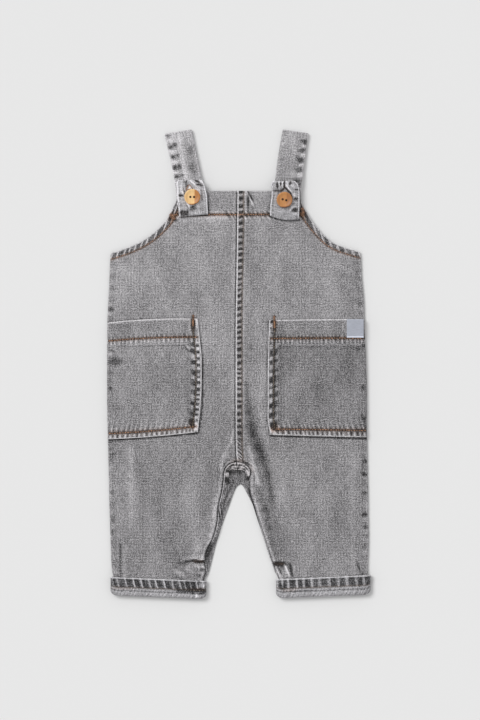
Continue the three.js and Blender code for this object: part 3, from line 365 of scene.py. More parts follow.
# Marks of the pockets, in the same columns
POCKET_MARKS = {
    "left": [
        (-128, 13.4, 4.2, 0.9, -6, -0.7), (-124, 2.6, 6.8, 4.6, -8, -0.72), (-129, 9.4, 3, 1, 0, 0.5),
        (-128.4, -8.8, 3, 2.4, 0, -0.4), (-128.6, -24.6, 2.8, 2.6, 0, -0.5), (-116, 37.5, 8, 1, 3, -0.2),
        (-45.8, 39.4, 2.3, 7, 0, -1.3), (-42.4, 40.5, 0.8, 5, 0, 1.2), (-46.8, -58.6, 2.6, 4.8, 10, -1.2),
        (-48.6, 38, 1.2, 5, 0, 0.4), (-49.5, 34, 3, 4, 0, 0.2), (-48.4, -55, 1.8, 2.4, -20, -0.6),
        (-46.8, 13.5, 2.4, 2.4, 0, -0.9), (-46.6, 0.6, 1.8, 2, 0, -0.5), (-40.2, -25.4, 1.8, 2, 0, -0.8),
        (-42.6, -60, 1.6, 6, 4, 0.8), (-43.8, -65.4, 2.6, 1.2, 8, 0.8), (-50.5, 16.4, 3.4, 0.8, -52, 0.7),
        (-51.8, 14.6, 3.4, 0.8, -50, -0.6), (-118, -44, 4, 2.4, 0, -0.15), (-72, -20, 18, 22, 0, -0.06),
        (-100, 30, 20, 4, 0, 0.06), (-45, -36.5, 4, 2.4, 0, -0.5), (-46, -46.5, 4.4, 2.6, 0, -0.6),
    ],
    "right": [
        (35.6, 39.4, 1.9, 7.2, 0, -1), (32.6, 42.6, 1.3, 2.4, -25, -1.8), (31.4, 41, 0.9, 4.6, 0, 0.6),
        (31.8, 35.6, 0.8, 0.9, 0, -1.2), (32.4, 31.4, 1.6, 0.8, 0, -0.7), (33.2, 38, 0.7, 3.4, 0, 0.8),
        (31.2, 30.6, 1, 4.6, 0, 0.6), (124.4, 18.6, 2.4, 1.6, 0, -0.7), (124.2, -23, 3.2, 3, 0, -0.5),
        (124.4, -54, 2.6, 3, 0, -0.6), (34.4, -62.6, 3.4, 4, -30, -0.7), (33, -67.6, 1.2, 5.4, 34, 0.9),
        (37.8, -69.6, 4, 0.9, -34, 0.7), (39.5, -66, 3, 0.9, -20, -0.7), (112, -10, 5, 26, 0, -0.12),
        (58, -10, 14, 24, 0, -0.05), (78, 36, 46, 8.5, 0, 0.16), (104, 30, 3, 7, 0, 0.1),
        (36, 15, 1, 4.4, -25, 0.6), (119, 14.5, 4, 2, 0, -0.3),
    ],
}

# Brown cast at the pockets' corners, in the same columns
POCKET_RUST = {
    "left": [(-45.8, 40, 2.4, 8, 0, 0.9), (-46.8, -60, 2.6, 5, 10, 0.8)],
    "right": [(35.4, 40, 2.2, 8, 0, 0.9), (35.6, -63.5, 3.4, 4.2, -30, 0.9), (41, -66, 5, 1.8, -10, 0.7)],
}

# Tone of the inside of the back that shows under the arch of the inseam, with painted shadow under the roll
# and in the gaps at its corners: x0, y0, x1, y1, half width, tone
BACK_TONE_AND_SHADOWS = [
    (1.5, -108, -3.5, -122, 9, -0.1), (-3, -116, -13, -140, 9, -0.1), (-12, -138, -28, -200, 7, 0),
    (-11.5, -107.6, 1.5, -109.6, 1.5, -3), (-12, -107, 6, -107, 2.6, -0.6),
    (-12.8, -114.5, -11, -119, 1.8, -3.2), (8.4, -114.8, 11.6, -112.8, 1.6, -3.2),
    (-9.6, -133, -4.6, -121, 2.4, 0.35), (6.4, -112, 10, -124, 2.4, -0.4),
    (-15, -134, -9.6, -119, 2.2, 0.75), (-12.6, -133, -4.4, -115, 1.3, -0.3),
    (-13.5, -142, -8.5, -130, 1.8, 0.4), (-13, -142.5, -7.6, -132.5, 1.2, -0.4),
    (-4, -112, -1, -120, 3, 0.2),
]

# Overall tone of each piece, from -1, unwashed, to 1, rubbed white
TONE = {"bib": -0.03, "legs": -0.16, "inside": -0.34, "pocket_left": -0.11, "pocket_right": -0.3,
        "strap_left": 0.37, "strap_right": 0.13, "end_left": 0.18, "end_right": -0.06}
DARKEST = -1.1

# Buttons: place and height of their lower face, turn of their two holes, share of heartwood, pale and
# dark wood, and the thread round their buttonhole
BUTTONS = {
    "left": {"x": -46.6, "y": 166.5, "base": 9.95, "turn": 0, "band": 1.0,
             "pale": (0.98, 0.69, 0.33), "dark": (0.54, 0.22, 0.055), "hole_thread": "tack"},
    "right": {"x": 45.3, "y": 163.7, "base": 9.95, "turn": -15, "band": 0.35,
              "pale": (0.62, 0.285, 0.09), "dark": (0.24, 0.08, 0.022), "hole_thread": "dark"},
}
# Darkest colour of the painted shade on the buttons' rim
RIM_SHADE = (0.07, 0.03, 0.015)
BUTTON_RADIUS = 7.9
BUTTON_HEIGHT = 3.0
BUTTON_HOLE_RADIUS = 1.15
BUTTON_HOLE_SPACING = 3.7

# Painted shade: the buttons' rim darkens towards this side, away from the light
RIM_SHADE_SIDE = (0.08, -0.99)

# Thread round what shows of the buttonholes: lines of points
BUTTONHOLES = {
    "left": [
        [(-53, 172.4), (-52.6, 174.8), (-50.8, 177.4), (-49.8, 178.8), (-48.6, 178.4), (-47, 175.6),
         (-45.6, 174.6)],
        [(-52.2, 174.4), (-50.4, 174.2), (-48.6, 174.5)],
    ],
    "right": [
        [(45.1, 180.2), (45.3, 177.8), (45.4, 175.2), (43.2, 173), (42, 171.8)],
        [(45.6, 175.4), (47.6, 174), (50, 171.6), (52, 169), (52.9, 166.6)],
    ],
}

# Turn-ups: ends, slope of the top and bottom edges, seeds, pitch, lean, width and paleness of the puckers
CUFFS = {
    "left": {"left_x": -128.7, "right_x": -32.2, "top": (-212.7, -216.7), "bottom": (-230.9, -234.7),
             "seeds": (131, 149), "pitch": 6.9, "lean": 2.8, "ridge": 0.15, "pale": 1.25},
    "right": {"left_x": 36.7, "right_x": 131.8, "top": (-215.1, -210.8), "bottom": (-233.9, -230.2),
              "seeds": (137, 151), "pitch": 7.8, "lean": 0.9, "ridge": 0.3, "pale": 0.85},
}

# The turn-up's wall from its top edge in under the leg's end: from which edge its two faces' places are
# measured, then how far each face is set in and how far it is from that edge
WALL_NAMES = ("face_inset", "face_away", "back_inset", "back_away")
CUFF_WALL = [
    ("top", 0.55, 0, 1.3, 0), ("top", 0.2, 0.4, 1.8, 0.4), ("top", 0, 1.2, 1.8, 1.2), ("top", 0.1, 8, 1.8, 8),
    ("top", 0.45, 9.6, 1.8, 9.6), ("top", 0.25, 11, 1.8, 11), ("bottom", 0.15, 3.6, 1.8, 3.8),
    ("bottom", 0.35, 1.6, 1.8, 2.6), ("bottom", 0.8, 0.5, 1.9, 2), ("bottom", 1.5, 0, 2.3, 1.7),
    ("bottom", 2.8, 0.2, 2.8, 1.7),
]

LABEL = {"left": 107.6, "right": 124.5, "bottom": 26.3, "top": 44.7}

# Finishes, as the shader's own names
DENIM_FINISH = {"Roughness": 0.93, "Specular IOR Level": 0.2, "Sheen Weight": 0.12, "Sheen Roughness": 0.5}
THREAD_FINISH = {"Roughness": 0.6, "Sheen Weight": 0.04}
WOOD_FINISH = {"Roughness": 0.48, "Coat Weight": 0.15, "Coat Roughness": 0.35}
TAPE_FINISH = {"Roughness": 0.62, "Sheen Weight": 0.35}
GROUND_FINISH = {"Roughness": 0.95, "Specular IOR Level": 0.1}

# Tones of the denim as shares of its colour, from unwashed hollows to rubbed ridges
DENIM_TONES = [(0, 0.08), (0.06, 0.172), (0.25, 0.482), (0.5, 1), (0.75, 1.65), (1, 2.54)]

# A wave of this scale repeats every 3 mm
WEAVE_SCALE = 104.7

# What the brown thread's dye leaves of red, green and blue in the cloth round it
RUST_CAST = (1.0, 0.77, 0.64)

# The photograph spans 480 mm by 720 mm of the surface, a little off the garment's centre
VIEW_CENTRE = (1.0, 4.0)
VIEW_HEIGHT = 720.0
WORLD_STRENGTH = 0.6
KEY_STRENGTH = 1.55
KEY_FROM = (-0.55, 0.45, 0.85)


def smooth(low, high, value):
    """0 before low, 1 after high, and a soft slope between them."""
    t = np.clip((np.asarray(value, float) - low) / (high - low), 0, 1)
    return t * t * (3 - 2 * t)


def bump(value, half_width):
    """1 at nought, falling softly to nothing on both sides."""
    return np.exp(-(np.asarray(value, float) / half_width) ** 2)


def mix(a, b, t):
    return a + (b - a) * t


def columns(names, rows):
    """A table's rows as named columns."""
    table = np.array(rows, float)
    return {name: table[:, k] for k, name in enumerate(names)}


def distance_along(x, y):
    """Length of a line up to each of its points."""
    steps = np.hypot(np.diff(x), np.diff(y))
    return np.concatenate([[0], np.cumsum(steps)])


def grid(*coordinates):
    """A grid of points from the grids of their coordinates."""
    return np.stack(np.broadcast_arrays(*coordinates), 2)


def curve_through(knots, values, at, corners=()):
    """A smooth curve through values, with sharp corners at the numbered ones."""
    span = np.diff(knots)
    slope = np.diff(values) / span
    leaving = np.concatenate([[slope[0]], np.zeros(len(values) - 2), [slope[-1]]])
    leaving[1:-1] = (slope[:-1] * span[1:] + slope[1:] * span[:-1]) / (span[:-1] + span[1:])
    arriving = leaving.copy()
    for corner in corners:
        arriving[corner] = slope[corner - 1]
        leaving[corner] = slope[corner]
    k = np.clip(np.searchsorted(knots, at, "right") - 1, 0, len(span) - 1)
    h = span[k]
    t = (at - knots[k]) / h
    start = (2 * t ** 3 - 3 * t ** 2 + 1) * values[k] + (t ** 3 - 2 * t ** 2 + t) * h * leaving[k]
    end = (3 * t ** 2 - 2 * t ** 3) * values[k + 1] + (t ** 3 - t ** 2) * h * arriving[k + 1]
    return start + end


def marks_along(length, step, fine=(0, 0.15, 0.4, 0.8, 1.4)):
    """Places along a length, close together at both ends so that the edges can round over."""
    fine = np.array(fine, float)
    count = max(2, int(round((length - 2 * fine[-1]) / step)))
    middle = np.linspace(fine[-1], length - fine[-1], count + 1)
    return np.concatenate([fine[:-1], middle, (length - fine[:-1])[::-1]])


class Puckers:
    """Uneven ridges and hollows along a sewn seam: +1 on a ridge, -1 in a hollow."""

    def __init__(self, seed, length, pitch, spread=0.35):
        draws = np.random.default_rng(seed)
        count = int(length / pitch) + 12
        gaps = pitch * draws.uniform(1 - spread, 1 + spread, count)
        self.marks = np.cumsum(gaps) - 4 * pitch
        self.depth = draws.uniform(0.3, 1.0, count)

    def phase(self, along):
        return np.interp(along, self.marks, np.arange(len(self.marks)))

    def at(self, along):
        phase = self.phase(along)
        depth = np.interp(phase - 0.5, np.arange(len(self.depth)), self.depth)
        swell = 0.5 + 0.5 * np.cos(2 * math.pi * phase)
        return (2 * swell ** 1.5 - 1) * depth

    def hollow(self, along, share=0.5):
        """1 in the hollows between two ridges, with fairly sharp sides; share is their part of the pitch."""
        phase = self.phase(along)
        away = np.abs(phase - np.floor(phase) - 0.5) * 2
        depth = 0.45 + 0.55 * self.depth[np.clip(np.floor(phase).astype(int), 0, len(self.depth) - 1)]
        return smooth(share + 0.2, share - 0.2, away) * depth

    def ridge(self, along, share=0.3):
        """1 on the crest of each ridge."""
        phase = self.phase(along)
        away = np.abs(phase - np.round(phase)) * 2
        depth = 0.4 + 0.6 * self.depth[np.clip(np.round(phase).astype(int), 0, len(self.depth) - 1)]
        return smooth(share + 0.15, share - 0.15, away) * depth


def spots(x, y, table):
    """Sum of soft worn or dark spots: middle, half sizes, turn in degrees and tone."""
    tone = np.zeros_like(x)
    for spot_x, spot_y, half_x, half_y, turn, strength in table:
        angle = math.radians(turn)
        along = (x - spot_x) * math.cos(angle) + (y - spot_y) * math.sin(angle)
        aside = (y - spot_y) * math.cos(angle) - (x - spot_x) * math.sin(angle)
        reach = (along / half_x) ** 2 + (aside / half_y) ** 2
        tone += strength * np.exp(-reach ** 1.5)
    return tone


def line_heights(x, y, lines):
    """Sum of soft ridges and troughs that run from one end to the other of each line."""
    height = np.zeros_like(x)
    for x0, y0, x1, y1, width, rise in lines:
        along_x, along_y = x1 - x0, y1 - y0
        t = ((x - x0) * along_x + (y - y0) * along_y) / (along_x ** 2 + along_y ** 2)
        nearest = np.clip(t, 0, 1)
        away = np.hypot(x - x0 - nearest * along_x, y - y0 - nearest * along_y)
        height += rise * (1 - smooth(0, width, away))
    return height


def nearest_on_line(x, y, line):
    """Distance from each point to a line of points, and the length along the line to the nearest place."""
    run = distance_along(line[:, 0], line[:, 1])
    best, along = np.full(x.shape, np.inf), np.zeros(x.shape)
    for k in range(len(line) - 1):
        step_x, step_y = line[k + 1] - line[k]
        length = math.hypot(step_x, step_y)
        t = np.clip(((x - line[k, 0]) * step_x + (y - line[k, 1]) * step_y) / length ** 2, 0, 1)
        away = np.hypot(x - line[k, 0] - t * step_x, y - line[k, 1] - t * step_y)
        along = np.where(away < best, run[k] + t * length, along)
        best = np.minimum(best, away)
    return best, along


def edge_drop(distance):
    """How far a folded edge has rounded over at a distance in from it."""
    t = np.clip(1 - distance / EDGE_ROUND, 0, 1)
    return EDGE_ROUND * (1 - np.sqrt(1 - t ** 2)) * 0.85


# Meshes

def activate(obj):
    bpy.ops.object.select_all(action="DESELECT")
    obj.select_set(True)
    bpy.context.view_layer.objects.active = obj


def mesh_object(name, corners, quads, uvs=None, values=None):
    """An object from arrays: corner places in millimetres, four-sided faces, map and point values."""
    mesh = bpy.data.meshes.new(name)
    mesh.vertices.add(len(corners))
    mesh.vertices.foreach_set("co", (np.asarray(corners, np.float32) * MM).ravel())
    mesh.loops.add(quads.size)
    mesh.loops.foreach_set("vertex_index", quads.astype(np.int32).ravel())
    mesh.polygons.add(len(quads))
    mesh.polygons.foreach_set("loop_start", np.arange(0, quads.size, 4, dtype=np.int32))
    mesh.polygons.foreach_set("loop_total", np.full(len(quads), 4, np.int32))
    mesh.update(calc_edges=True)
    if uvs is not None:
        layer = mesh.uv_layers.new(name="Cut")
        layer.data.foreach_set("uv", (np.asarray(uvs, np.float32) * MM).ravel())
    for key, data in (values or {}).items():
        attribute = mesh.attributes.new(key, "FLOAT", "POINT")
        attribute.data.foreach_set("value", np.asarray(data, np.float32).ravel())
    mesh.validate()
    obj = bpy.data.objects.new(name, mesh)
    bpy.context.scene.collection.objects.link(obj)
    return obj


def cloth_shell(name, face, back, cut, values, ring=False, round_length=0.0):
    """A closed wall of cloth between two grids of points. cut is where each point lies on the flat cut."""
    rows, across = face.shape[:2]
    corners = np.concatenate([face.reshape(-1, 3), back.reshape(-1, 3)])
    index = np.arange(rows * across).reshape(rows, across)
    if ring:
        index = np.vstack([index, index[:1]])
        last = cut[:1] + np.array([round_length, 0.0])
        cut = np.concatenate([cut, last])
    offset = rows * across

    def strip(a, b, c, d):
        return np.stack([a.ravel(), b.ravel(), c.ravel(), d.ravel()], 1)

    cells = [index[:-1, :-1], index[1:, :-1], index[1:, 1:], index[:-1, 1:]]
    maps = [cut[:-1, :-1], cut[1:, :-1], cut[1:, 1:], cut[:-1, 1:]]
    faces = [strip(*cells), strip(*[c + offset for c in cells[::-1]])]
    flat = np.stack([m.reshape(-1, 2) for m in maps], 1)
    flats = [flat, flat[:, ::-1]]

    def wall(edge, edge_cut, flip):
        low = edge + offset
        quad = np.stack([edge[:-1], low[:-1], low[1:], edge[1:]], 1)
        where = np.stack([edge_cut[:-1], edge_cut[:-1], edge_cut[1:], edge_cut[1:]], 1)
        if flip:
            quad, where = quad[:, ::-1], where[:, ::-1]
        faces.append(quad)
        flats.append(where)

    wall(index[:, 0], cut[:, 0], False)
    wall(index[:, -1], cut[:, -1], True)
    if not ring:
        wall(index[0, :], cut[0, :], True)
        wall(index[-1, :], cut[-1, :], False)
    quads = np.concatenate(faces)
    uvs = np.concatenate(flats)
    p = corners[quads]
    normal = np.cross(p[:, 1] - p[:, 0], p[:, 2] - p[:, 0])
    volume = (p[:, 0] * normal).sum() + (p[:, 0] * np.cross(p[:, 2] - p[:, 0], p[:, 3] - p[:, 0])).sum()
    if volume < 0:
        quads, uvs = quads[:, ::-1], uvs[:, ::-1]
    obj = mesh_object(name, corners, quads, uvs.reshape(-1, 2), values)
    activate(obj)
    bpy.ops.object.shade_smooth_by_angle(angle=math.radians(55))
    return obj


def both_sides(face, back):
    """One list of point values from those of the face and of the back."""
    return np.concatenate([np.ravel(face), np.ravel(back)])


def cloth_values(face_wear_and_shade, back_wear, rust=0, darkest=DARKEST):
    """Point values of a sheet: the worn tone and painted shade of its face and the worn tone of its back, and
    the brown cast of its face.
    """
    shape = np.shape(face_wear_and_shade)
    back_wear = np.broadcast_to(np.clip(back_wear, -1, 1), shape)
    return {"wear": both_sides(np.clip(face_wear_and_shade, darkest, 1), back_wear),
            "rust": both_sides(np.broadcast_to(rust, shape), np.zeros(shape))}


def surface_height(objects, x, y):
    """The highest surface of the objects at a place, in millimetres."""
    best = None
    for obj in objects:
        found, place, _, _ = obj.ray_cast(Vector((x * MM, y * MM, 0.1)), Vector((0, 0, -1)))
        if found and (best is None or place.z > best):
            best = place.z
    return None if best is None else best / MM


def heights_under(obj, x, y):
    """The surface's height at each place of a grid; a place just past its edge takes its neighbour's."""
    flat_x, flat_y = x.ravel(), y.ravel()
    heights = np.full(len(flat_x), np.nan)
    for k in range(len(flat_x)):
        height = surface_height([obj], flat_x[k], flat_y[k])
        if height is not None:
            heights[k] = height
    missing = np.isnan(heights)
    if missing.any():
        known = np.nonzero(~missing)[0]
        for k in np.nonzero(missing)[0]:
            nearest = np.argmin((flat_x[known] - flat_x[k]) ** 2 + (flat_y[known] - flat_y[k]) ** 2)
            heights[k] = heights[known[nearest]]
    return heights.reshape(x.shape)


# Materials

def link(tree, source, target):
    tree.links.new(source, target)


def add_node(tree, kind, settings=None, inputs=None):
    """A new node, placed in rows of eight in the editor."""
    row, column = divmod(len(tree.nodes), 8)
    node = tree.nodes.new(kind)
    node.location = (220 * column, -300 * row)
    for key, value in (settings or {}).items():
        setattr(node, key, value)
    for key, value in (inputs or {}).items():
        node.inputs[key].default_value = value
    return node


def new_material(name, finish):
    """A material with one shader, whose plain inputs the finish gives."""
    material = bpy.data.materials.new(name)
    material.use_nodes = True
    tree = material.node_tree
    tree.nodes.clear()
    output = add_node(tree, "ShaderNodeOutputMaterial")
    shader = add_node(tree, "ShaderNodeBsdfPrincipled", None, finish)
    link(tree, shader.outputs["BSDF"], output.inputs["Surface"])
    return material, tree, shader


def add_attribute(tree, name):
    return add_node(tree, "ShaderNodeAttribute", {"attribute_name": name}).outputs["Fac"]


def add_cut_map(tree):
    """Places on the flat cut, in metres."""
    return add_node(tree, "ShaderNodeUVMap", {"uv_map": "Cut"}).outputs["UV"]


def add_object_place(tree):
    return add_node(tree, "ShaderNodeTexCoord").outputs["Object"]


def add_math(tree, operation, first, second):
    """A sum or product of two sockets or plain numbers."""
    node = add_node(tree, "ShaderNodeMath", {"operation": operation})
    for socket, value in zip(node.inputs, (first, second)):
        if isinstance(value, (int, float)):
            socket.default_value = value
        else:
            link(tree, value, socket)
    return node.outputs[0]


def add_weighted(tree, terms):
    """The sum of sockets, each times its weight."""
    total = None
    for socket, weight in terms:
        scaled = add_math(tree, "MULTIPLY", socket, weight)
        total = scaled if total is None else add_math(tree, "ADD", total, scaled)
    return total


def add_slope(tree, value, low, high, top):
    """0 where the value is under low, rising softly to top where it is over high."""
    node = add_node(tree, "ShaderNodeMapRange", {"interpolation_type": "SMOOTHSTEP"},
                    {"From Min": low, "From Max": high, "To Min": 0.0, "To Max": top})
    link(tree, value, node.inputs["Value"])
    return node.outputs["Result"]


def add_noise(tree, vector, stretch, detail, roughness=0.55):
    """Noise with features of 1 / stretch metres across and along the cloth."""
    mapping = add_node(tree, "ShaderNodeMapping", None, {"Scale": stretch})
    noise = add_node(tree, "ShaderNodeTexNoise", None,
                     {"Scale": 1.0, "Detail": detail, "Roughness": roughness})
    link(tree, vector, mapping.inputs["Vector"])
    link(tree, mapping.outputs["Vector"], noise.inputs["Vector"])
    return noise.outputs["Fac"]


def add_waves(tree, vector, shape, **settings):
    """Parallel lines; shape gives the wave's own inputs."""
    waves = add_node(tree, "ShaderNodeTexWave", {"wave_type": "BANDS", **settings}, shape)
    link(tree, vector, waves.inputs["Vector"])
    return waves.outputs["Fac"]


def add_colours(tree, tone, stops):
    """Colours by tone, from stops of position and colour in rising order."""
    ramp = add_node(tree, "ShaderNodeValToRGB")
    points = ramp.color_ramp.elements
    for point, (position, colour) in zip(points, (stops[0], stops[-1])):
        point.position, point.color = position, (*colour, 1)
    for position, colour in stops[1:-1]:
        points.new(position).color = (*colour, 1)
    link(tree, tone, ramp.inputs["Fac"])
    return ramp.outputs["Color"]


def add_relief(tree, height, shader, strength, depth):
    """Fine relief of the surface; depth is in metres."""
    bumped = add_node(tree, "ShaderNodeBump", None, {"Strength": strength, "Distance": depth})
    link(tree, height, bumped.inputs["Height"])
    link(tree, bumped.outputs["Normal"], shader.inputs["Normal"])


def shaded(colour, share):
    """A colour times a share, no lighter than white."""
    return tuple(min(1, c * share) for c in colour)


def denim(name, colour, grain=1.0):
    """Washed denim: a pale and dark heather, slubs along the warp, and a twill line."""
    material, tree, shader = new_material(name, DENIM_FINISH)
    uv = add_cut_map(tree)
    weave = {"Scale": WEAVE_SCALE, "Distortion": 2.2, "Detail": 2.0, "Detail Scale": 3.0}
    heather = add_noise(tree, uv, (1050, 950, 1), 2, 0.6)
    slubs = add_noise(tree, uv, (900, 150, 1), 1)
    layers = [
        (heather, 1.85 * grain),
        (slubs, 0.5 * grain),
        (add_noise(tree, uv, (150, 900, 1), 1), 0.3 * grain),
        (add_noise(tree, uv, (60, 18, 1), 2), 0.3),
        (add_noise(tree, uv, (24, 20, 1), 3), 0.27),
        (add_waves(tree, uv, weave, bands_direction="X"), 0.055 * grain),
        (add_waves(tree, uv, weave, bands_direction="Y"), 0.07 * grain),
    ]
    # The tone follows the cloth's point values: its worn tone, with painted shade and shadow where the pieces
    # set them
    tone = add_math(tree, "MULTIPLY", add_attribute(tree, "wear"), 0.5)
    tone = add_math(tree, "ADD", tone, 0.5)
    for noise, weight in layers:
        centred = add_math(tree, "SUBTRACT", noise, 0.5)
        scaled = add_math(tree, "MULTIPLY", centred, weight)
        tone = add_math(tree, "ADD", tone, scaled)
    stops = [(position, shaded(colour, share)) for position, share in DENIM_TONES]
    stained = add_node(tree, "ShaderNodeMix", {"data_type": "RGBA", "blend_type": "MULTIPLY"})
    factor, cloth, cast = stained.inputs[0], stained.inputs[6], stained.inputs[7]
    link(tree, add_attribute(tree, "rust"), factor)
    link(tree, add_colours(tree, tone, stops), cloth)
    cast.default_value = (*RUST_CAST, 1)
    link(tree, stained.outputs[2], shader.inputs["Base Color"])
    turned = add_node(tree, "ShaderNodeMapping", None,
                      {"Rotation": (0, 0, math.radians(27)), "Scale": (390, 390, 1)})
    link(tree, uv, turned.inputs["Vector"])
    twill = add_waves(tree, turned.outputs["Vector"],
                      {"Scale": 1.0, "Distortion": 1.5, "Detail": 1.0, "Detail Scale": 1.5})
    relief = add_math(tree, "MULTIPLY", twill, 0.5)
    relief = add_math(tree, "ADD", relief, heather)
    relief = add_math(tree, "ADD", relief, slubs)
    add_relief(tree, relief, shader, 0.55, 0.00025)
    return material


def sewing_thread(name, colour):
    """Twisted thread, mottled along its length."""
    material, tree, shader = new_material(name, THREAD_FINISH)
    place = add_object_place(tree)
    noise = add_node(tree, "ShaderNodeTexNoise", None, {"Scale": 420.0, "Detail": 2.0})
    link(tree, place, noise.inputs["Vector"])
    stops = [(0.36, shaded(colour, 0.3)), (0.62, shaded(colour, 1.7))]
    link(tree, add_colours(tree, noise.outputs["Fac"], stops), shader.inputs["Base Color"])
    twist = add_waves(tree, place, {"Scale": 900.0, "Distortion": 0.5})
    add_relief(tree, twist, shader, 0.4, 0.0001)
    return material


def turned_wood(name, button):
    """Turned wood: fine grain lines, a darker band of heartwood past one side, and painted shade on the rim
    towards one side.
    """
    material, tree, shader = new_material(name, WOOD_FINISH)
    middle = add_node(tree, "ShaderNodeMapping", None,
                      {"Location": (-button["x"] * MM, -button["y"] * MM, 0)})
    link(tree, add_object_place(tree), middle.inputs["Vector"])
    here = middle.outputs["Vector"]
    grain = add_noise(tree, here, (900, 60, 300), 3)
    patch = add_noise(tree, here, (160, 40, 100), 2)
    axes = add_node(tree, "ShaderNodeSeparateXYZ")
    link(tree, here, axes.inputs["Vector"])
    toward = add_weighted(tree, list(zip((axes.outputs["X"], axes.outputs["Y"]), RIM_SHADE_SIDE)))
    heart = add_slope(tree, axes.outputs["X"], 1.2 * MM, 3.6 * MM, 0.5 * button["band"])
    # Painted shade: the rim darkens towards one side, away from the light
    rim = add_slope(tree, toward, 5.8 * MM, 8.0 * MM, 0.95)
    tone = add_weighted(tree, [(grain, 0.55), (patch, 0.5), (heart, 1.0), (rim, 1.0)])
    tone = add_math(tree, "MULTIPLY", tone, 0.6)
    stops = [(0.2, button["pale"]), (0.6, button["dark"]), (0.9, RIM_SHADE)]
    link(tree, add_colours(tree, tone, stops), shader.inputs["Base Color"])
    add_relief(tree, grain, shader, 0.25, 0.0001)
    return material


def woven_tape(name, colour):
    """Woven label tape: close cross ribs with a slight sheen, paler where its attribute says."""
    material, tree, shader = new_material(name, TAPE_FINISH)
    uv = add_cut_map(tree)
    ribs = add_noise(tree, uv, (240, 1500, 1), 2)
    cloud = add_noise(tree, uv, (160, 160, 1), 2)
    fringe = add_attribute(tree, "wear")
    tone = add_weighted(tree, [(ribs, 0.6), (cloud, 0.4), (fringe, 0.5)])
    stops = [(0.3, shaded(colour, 0.85)), (0.7, shaded(colour, 1.15)), (1, shaded(colour, 1.9))]
    link(tree, add_colours(tree, tone, stops), shader.inputs["Base Color"])
    add_relief(tree, ribs, shader, 0.4, 0.00015)
    return material


# Each finish: how it is made, the material's name, the setting with its colour and any further number
FINISHES = {
    "denim": (denim, "washed_denim", "denim_colour"),
    "reverse": (denim, "denim_wrong_side", "reverse_colour", 0.8),
    "thread": (sewing_thread, "tan_thread", "thread_colour"),
    "faded": (sewing_thread, "faded_thread", "faded_colour"),
    "tack": (sewing_thread, "rust_bartack_thread", "tack_colour"),
    "dark": (sewing_thread, "dark_thread", "dark_colour"),
    "tape": (woven_tape, "label_tape", "label_colour"),
}
MATERIALS = {}


def material(name):
    """The named finish, made once in the colour that the settings give."""
    if name not in MATERIALS:
        make, label, setting, *numbers = FINISHES[name]
        MATERIALS[name] = make(label, getattr(bpy.context.scene.dungarees, setting), *numbers)
    return MATERIALS[name]


PIECES = {}


def finish_piece(obj, node_names, slot, *finishes):
    """Puts a finished piece on the garment: its material, body and the solids it stands for. The slot is not
    used.
    """
    for finish in finishes:
        obj.data.materials.append(finish)
    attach(obj, "root")
    if node_names:
        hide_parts(*node_names)
    PIECES.update(dict.fromkeys(node_names, obj))
    return obj


# Fronts and backs

def panel_rows(side, step):
    """The rows of one side's table, filled in every few millimetres, as columns."""
    table = columns(EDGE_NAMES, PANEL_ROWS[side])
    outer = distance_along(table["outer_x"], table["outer_y"])
    inner = distance_along(table["front_x"], table["front_y"])
    knots = (outer + inner) / 2
    at = marks_along(knots[-1], step)
    filled = {"at": at}
    corners = {"outer": ARMHOLE_CORNER, "front": CROTCH_CORNER, "back": BACK_CROTCH_CORNER}
    for edge, corner in corners.items():
        for name in (f"{edge}_x", f"{edge}_y"):
            filled[name] = curve_through(knots, table[name], at, (corner, RAMP_ROW, CUFF_ROW))
    for name, profile in {**PANEL_PROFILE, "fell": FELL_WIDTHS[side]}.items():
        filled[name] = np.interp(at, knots, profile)
    filled["outer_run"] = distance_along(filled["outer_x"], filled["outer_y"])
    filled["front_run"] = distance_along(filled["front_x"], filled["front_y"])
    filled["ends"] = np.minimum(at, knots[-1] - at)
    return filled


def places_across(length, edge_band, step, middle_spans):
    """Places across each row: fine at both edges, even spans between them."""
    fine = np.concatenate([[0, 0.15, 0.4, 0.8, 1.3], np.arange(2.0, edge_band, step)])
    start, stop = fine[-1], length - fine[-1]
    middle = start + (stop - start)[:, None] * np.linspace(0, 1, middle_spans + 1)[None, 1:-1]
    head = np.repeat(fine[None, :], len(length), 0)
    tail = length[:, None] - fine[None, ::-1]
    return np.concatenate([head, middle, tail], 1)


def spread_across(first_x, first_y, last_x, last_y, edge_band, step, middle_spans):
    """Rows between two edges: x, y, distance from the first edge and from the last, share of the way."""
    length = np.hypot(last_x - first_x, last_y - first_y)
    place = places_across(length[:, 0], edge_band, step, middle_spans)
    t = place / length
    return mix(first_x, last_x, t), mix(first_y, last_y, t), place, length - place, t


def crown_shape(distance):
    t = np.minimum(1, distance / CROWN_REACH)
    return 1 - (1 - t) ** 2


def armhole_hem(side, x, y, seed):
    """Relief, wear and rust of the armhole's hem, and the distance from its edge."""
    puckers, breaks = Puckers(seed, 260, 5.4, 0.3), Puckers(seed + 1, 140, 4.4, 0.3)
    distance, run = nearest_on_line(x, y, armhole_edge(side, 2.2, 12))
    slanted = np.abs(x) + 0.35 * y
    ridges = puckers.ridge(slanted, 0.12)
    hollows = puckers.hollow(slanted, 0.7) * (0.55 + 0.45 * breaks.at(0.7 * run + 3 * distance))
    inside = smooth(0.6, 1.2, distance) * smooth(5.4, 4.6, distance)
    relief = (smooth(7.0, 6.0, distance) * HEM_RISE - 0.3 * bump(distance - 6.0, 0.8)
              + inside * (0.16 * ridges - 0.2 * hollows))
    wear = (inside * (2.0 * ridges - 1.5 * hollows + 0.02) + 0.55 * bump(distance - 0.3, 0.5)
            - 0.6 * bump(distance - 5.9, 0.9) + 0.22 * bump(distance - 7.9, 0.8) * (0.4 + ridges))
    return relief, wear, 0.7 * bump(distance - ARMHOLE_STITCH, 1.4), distance


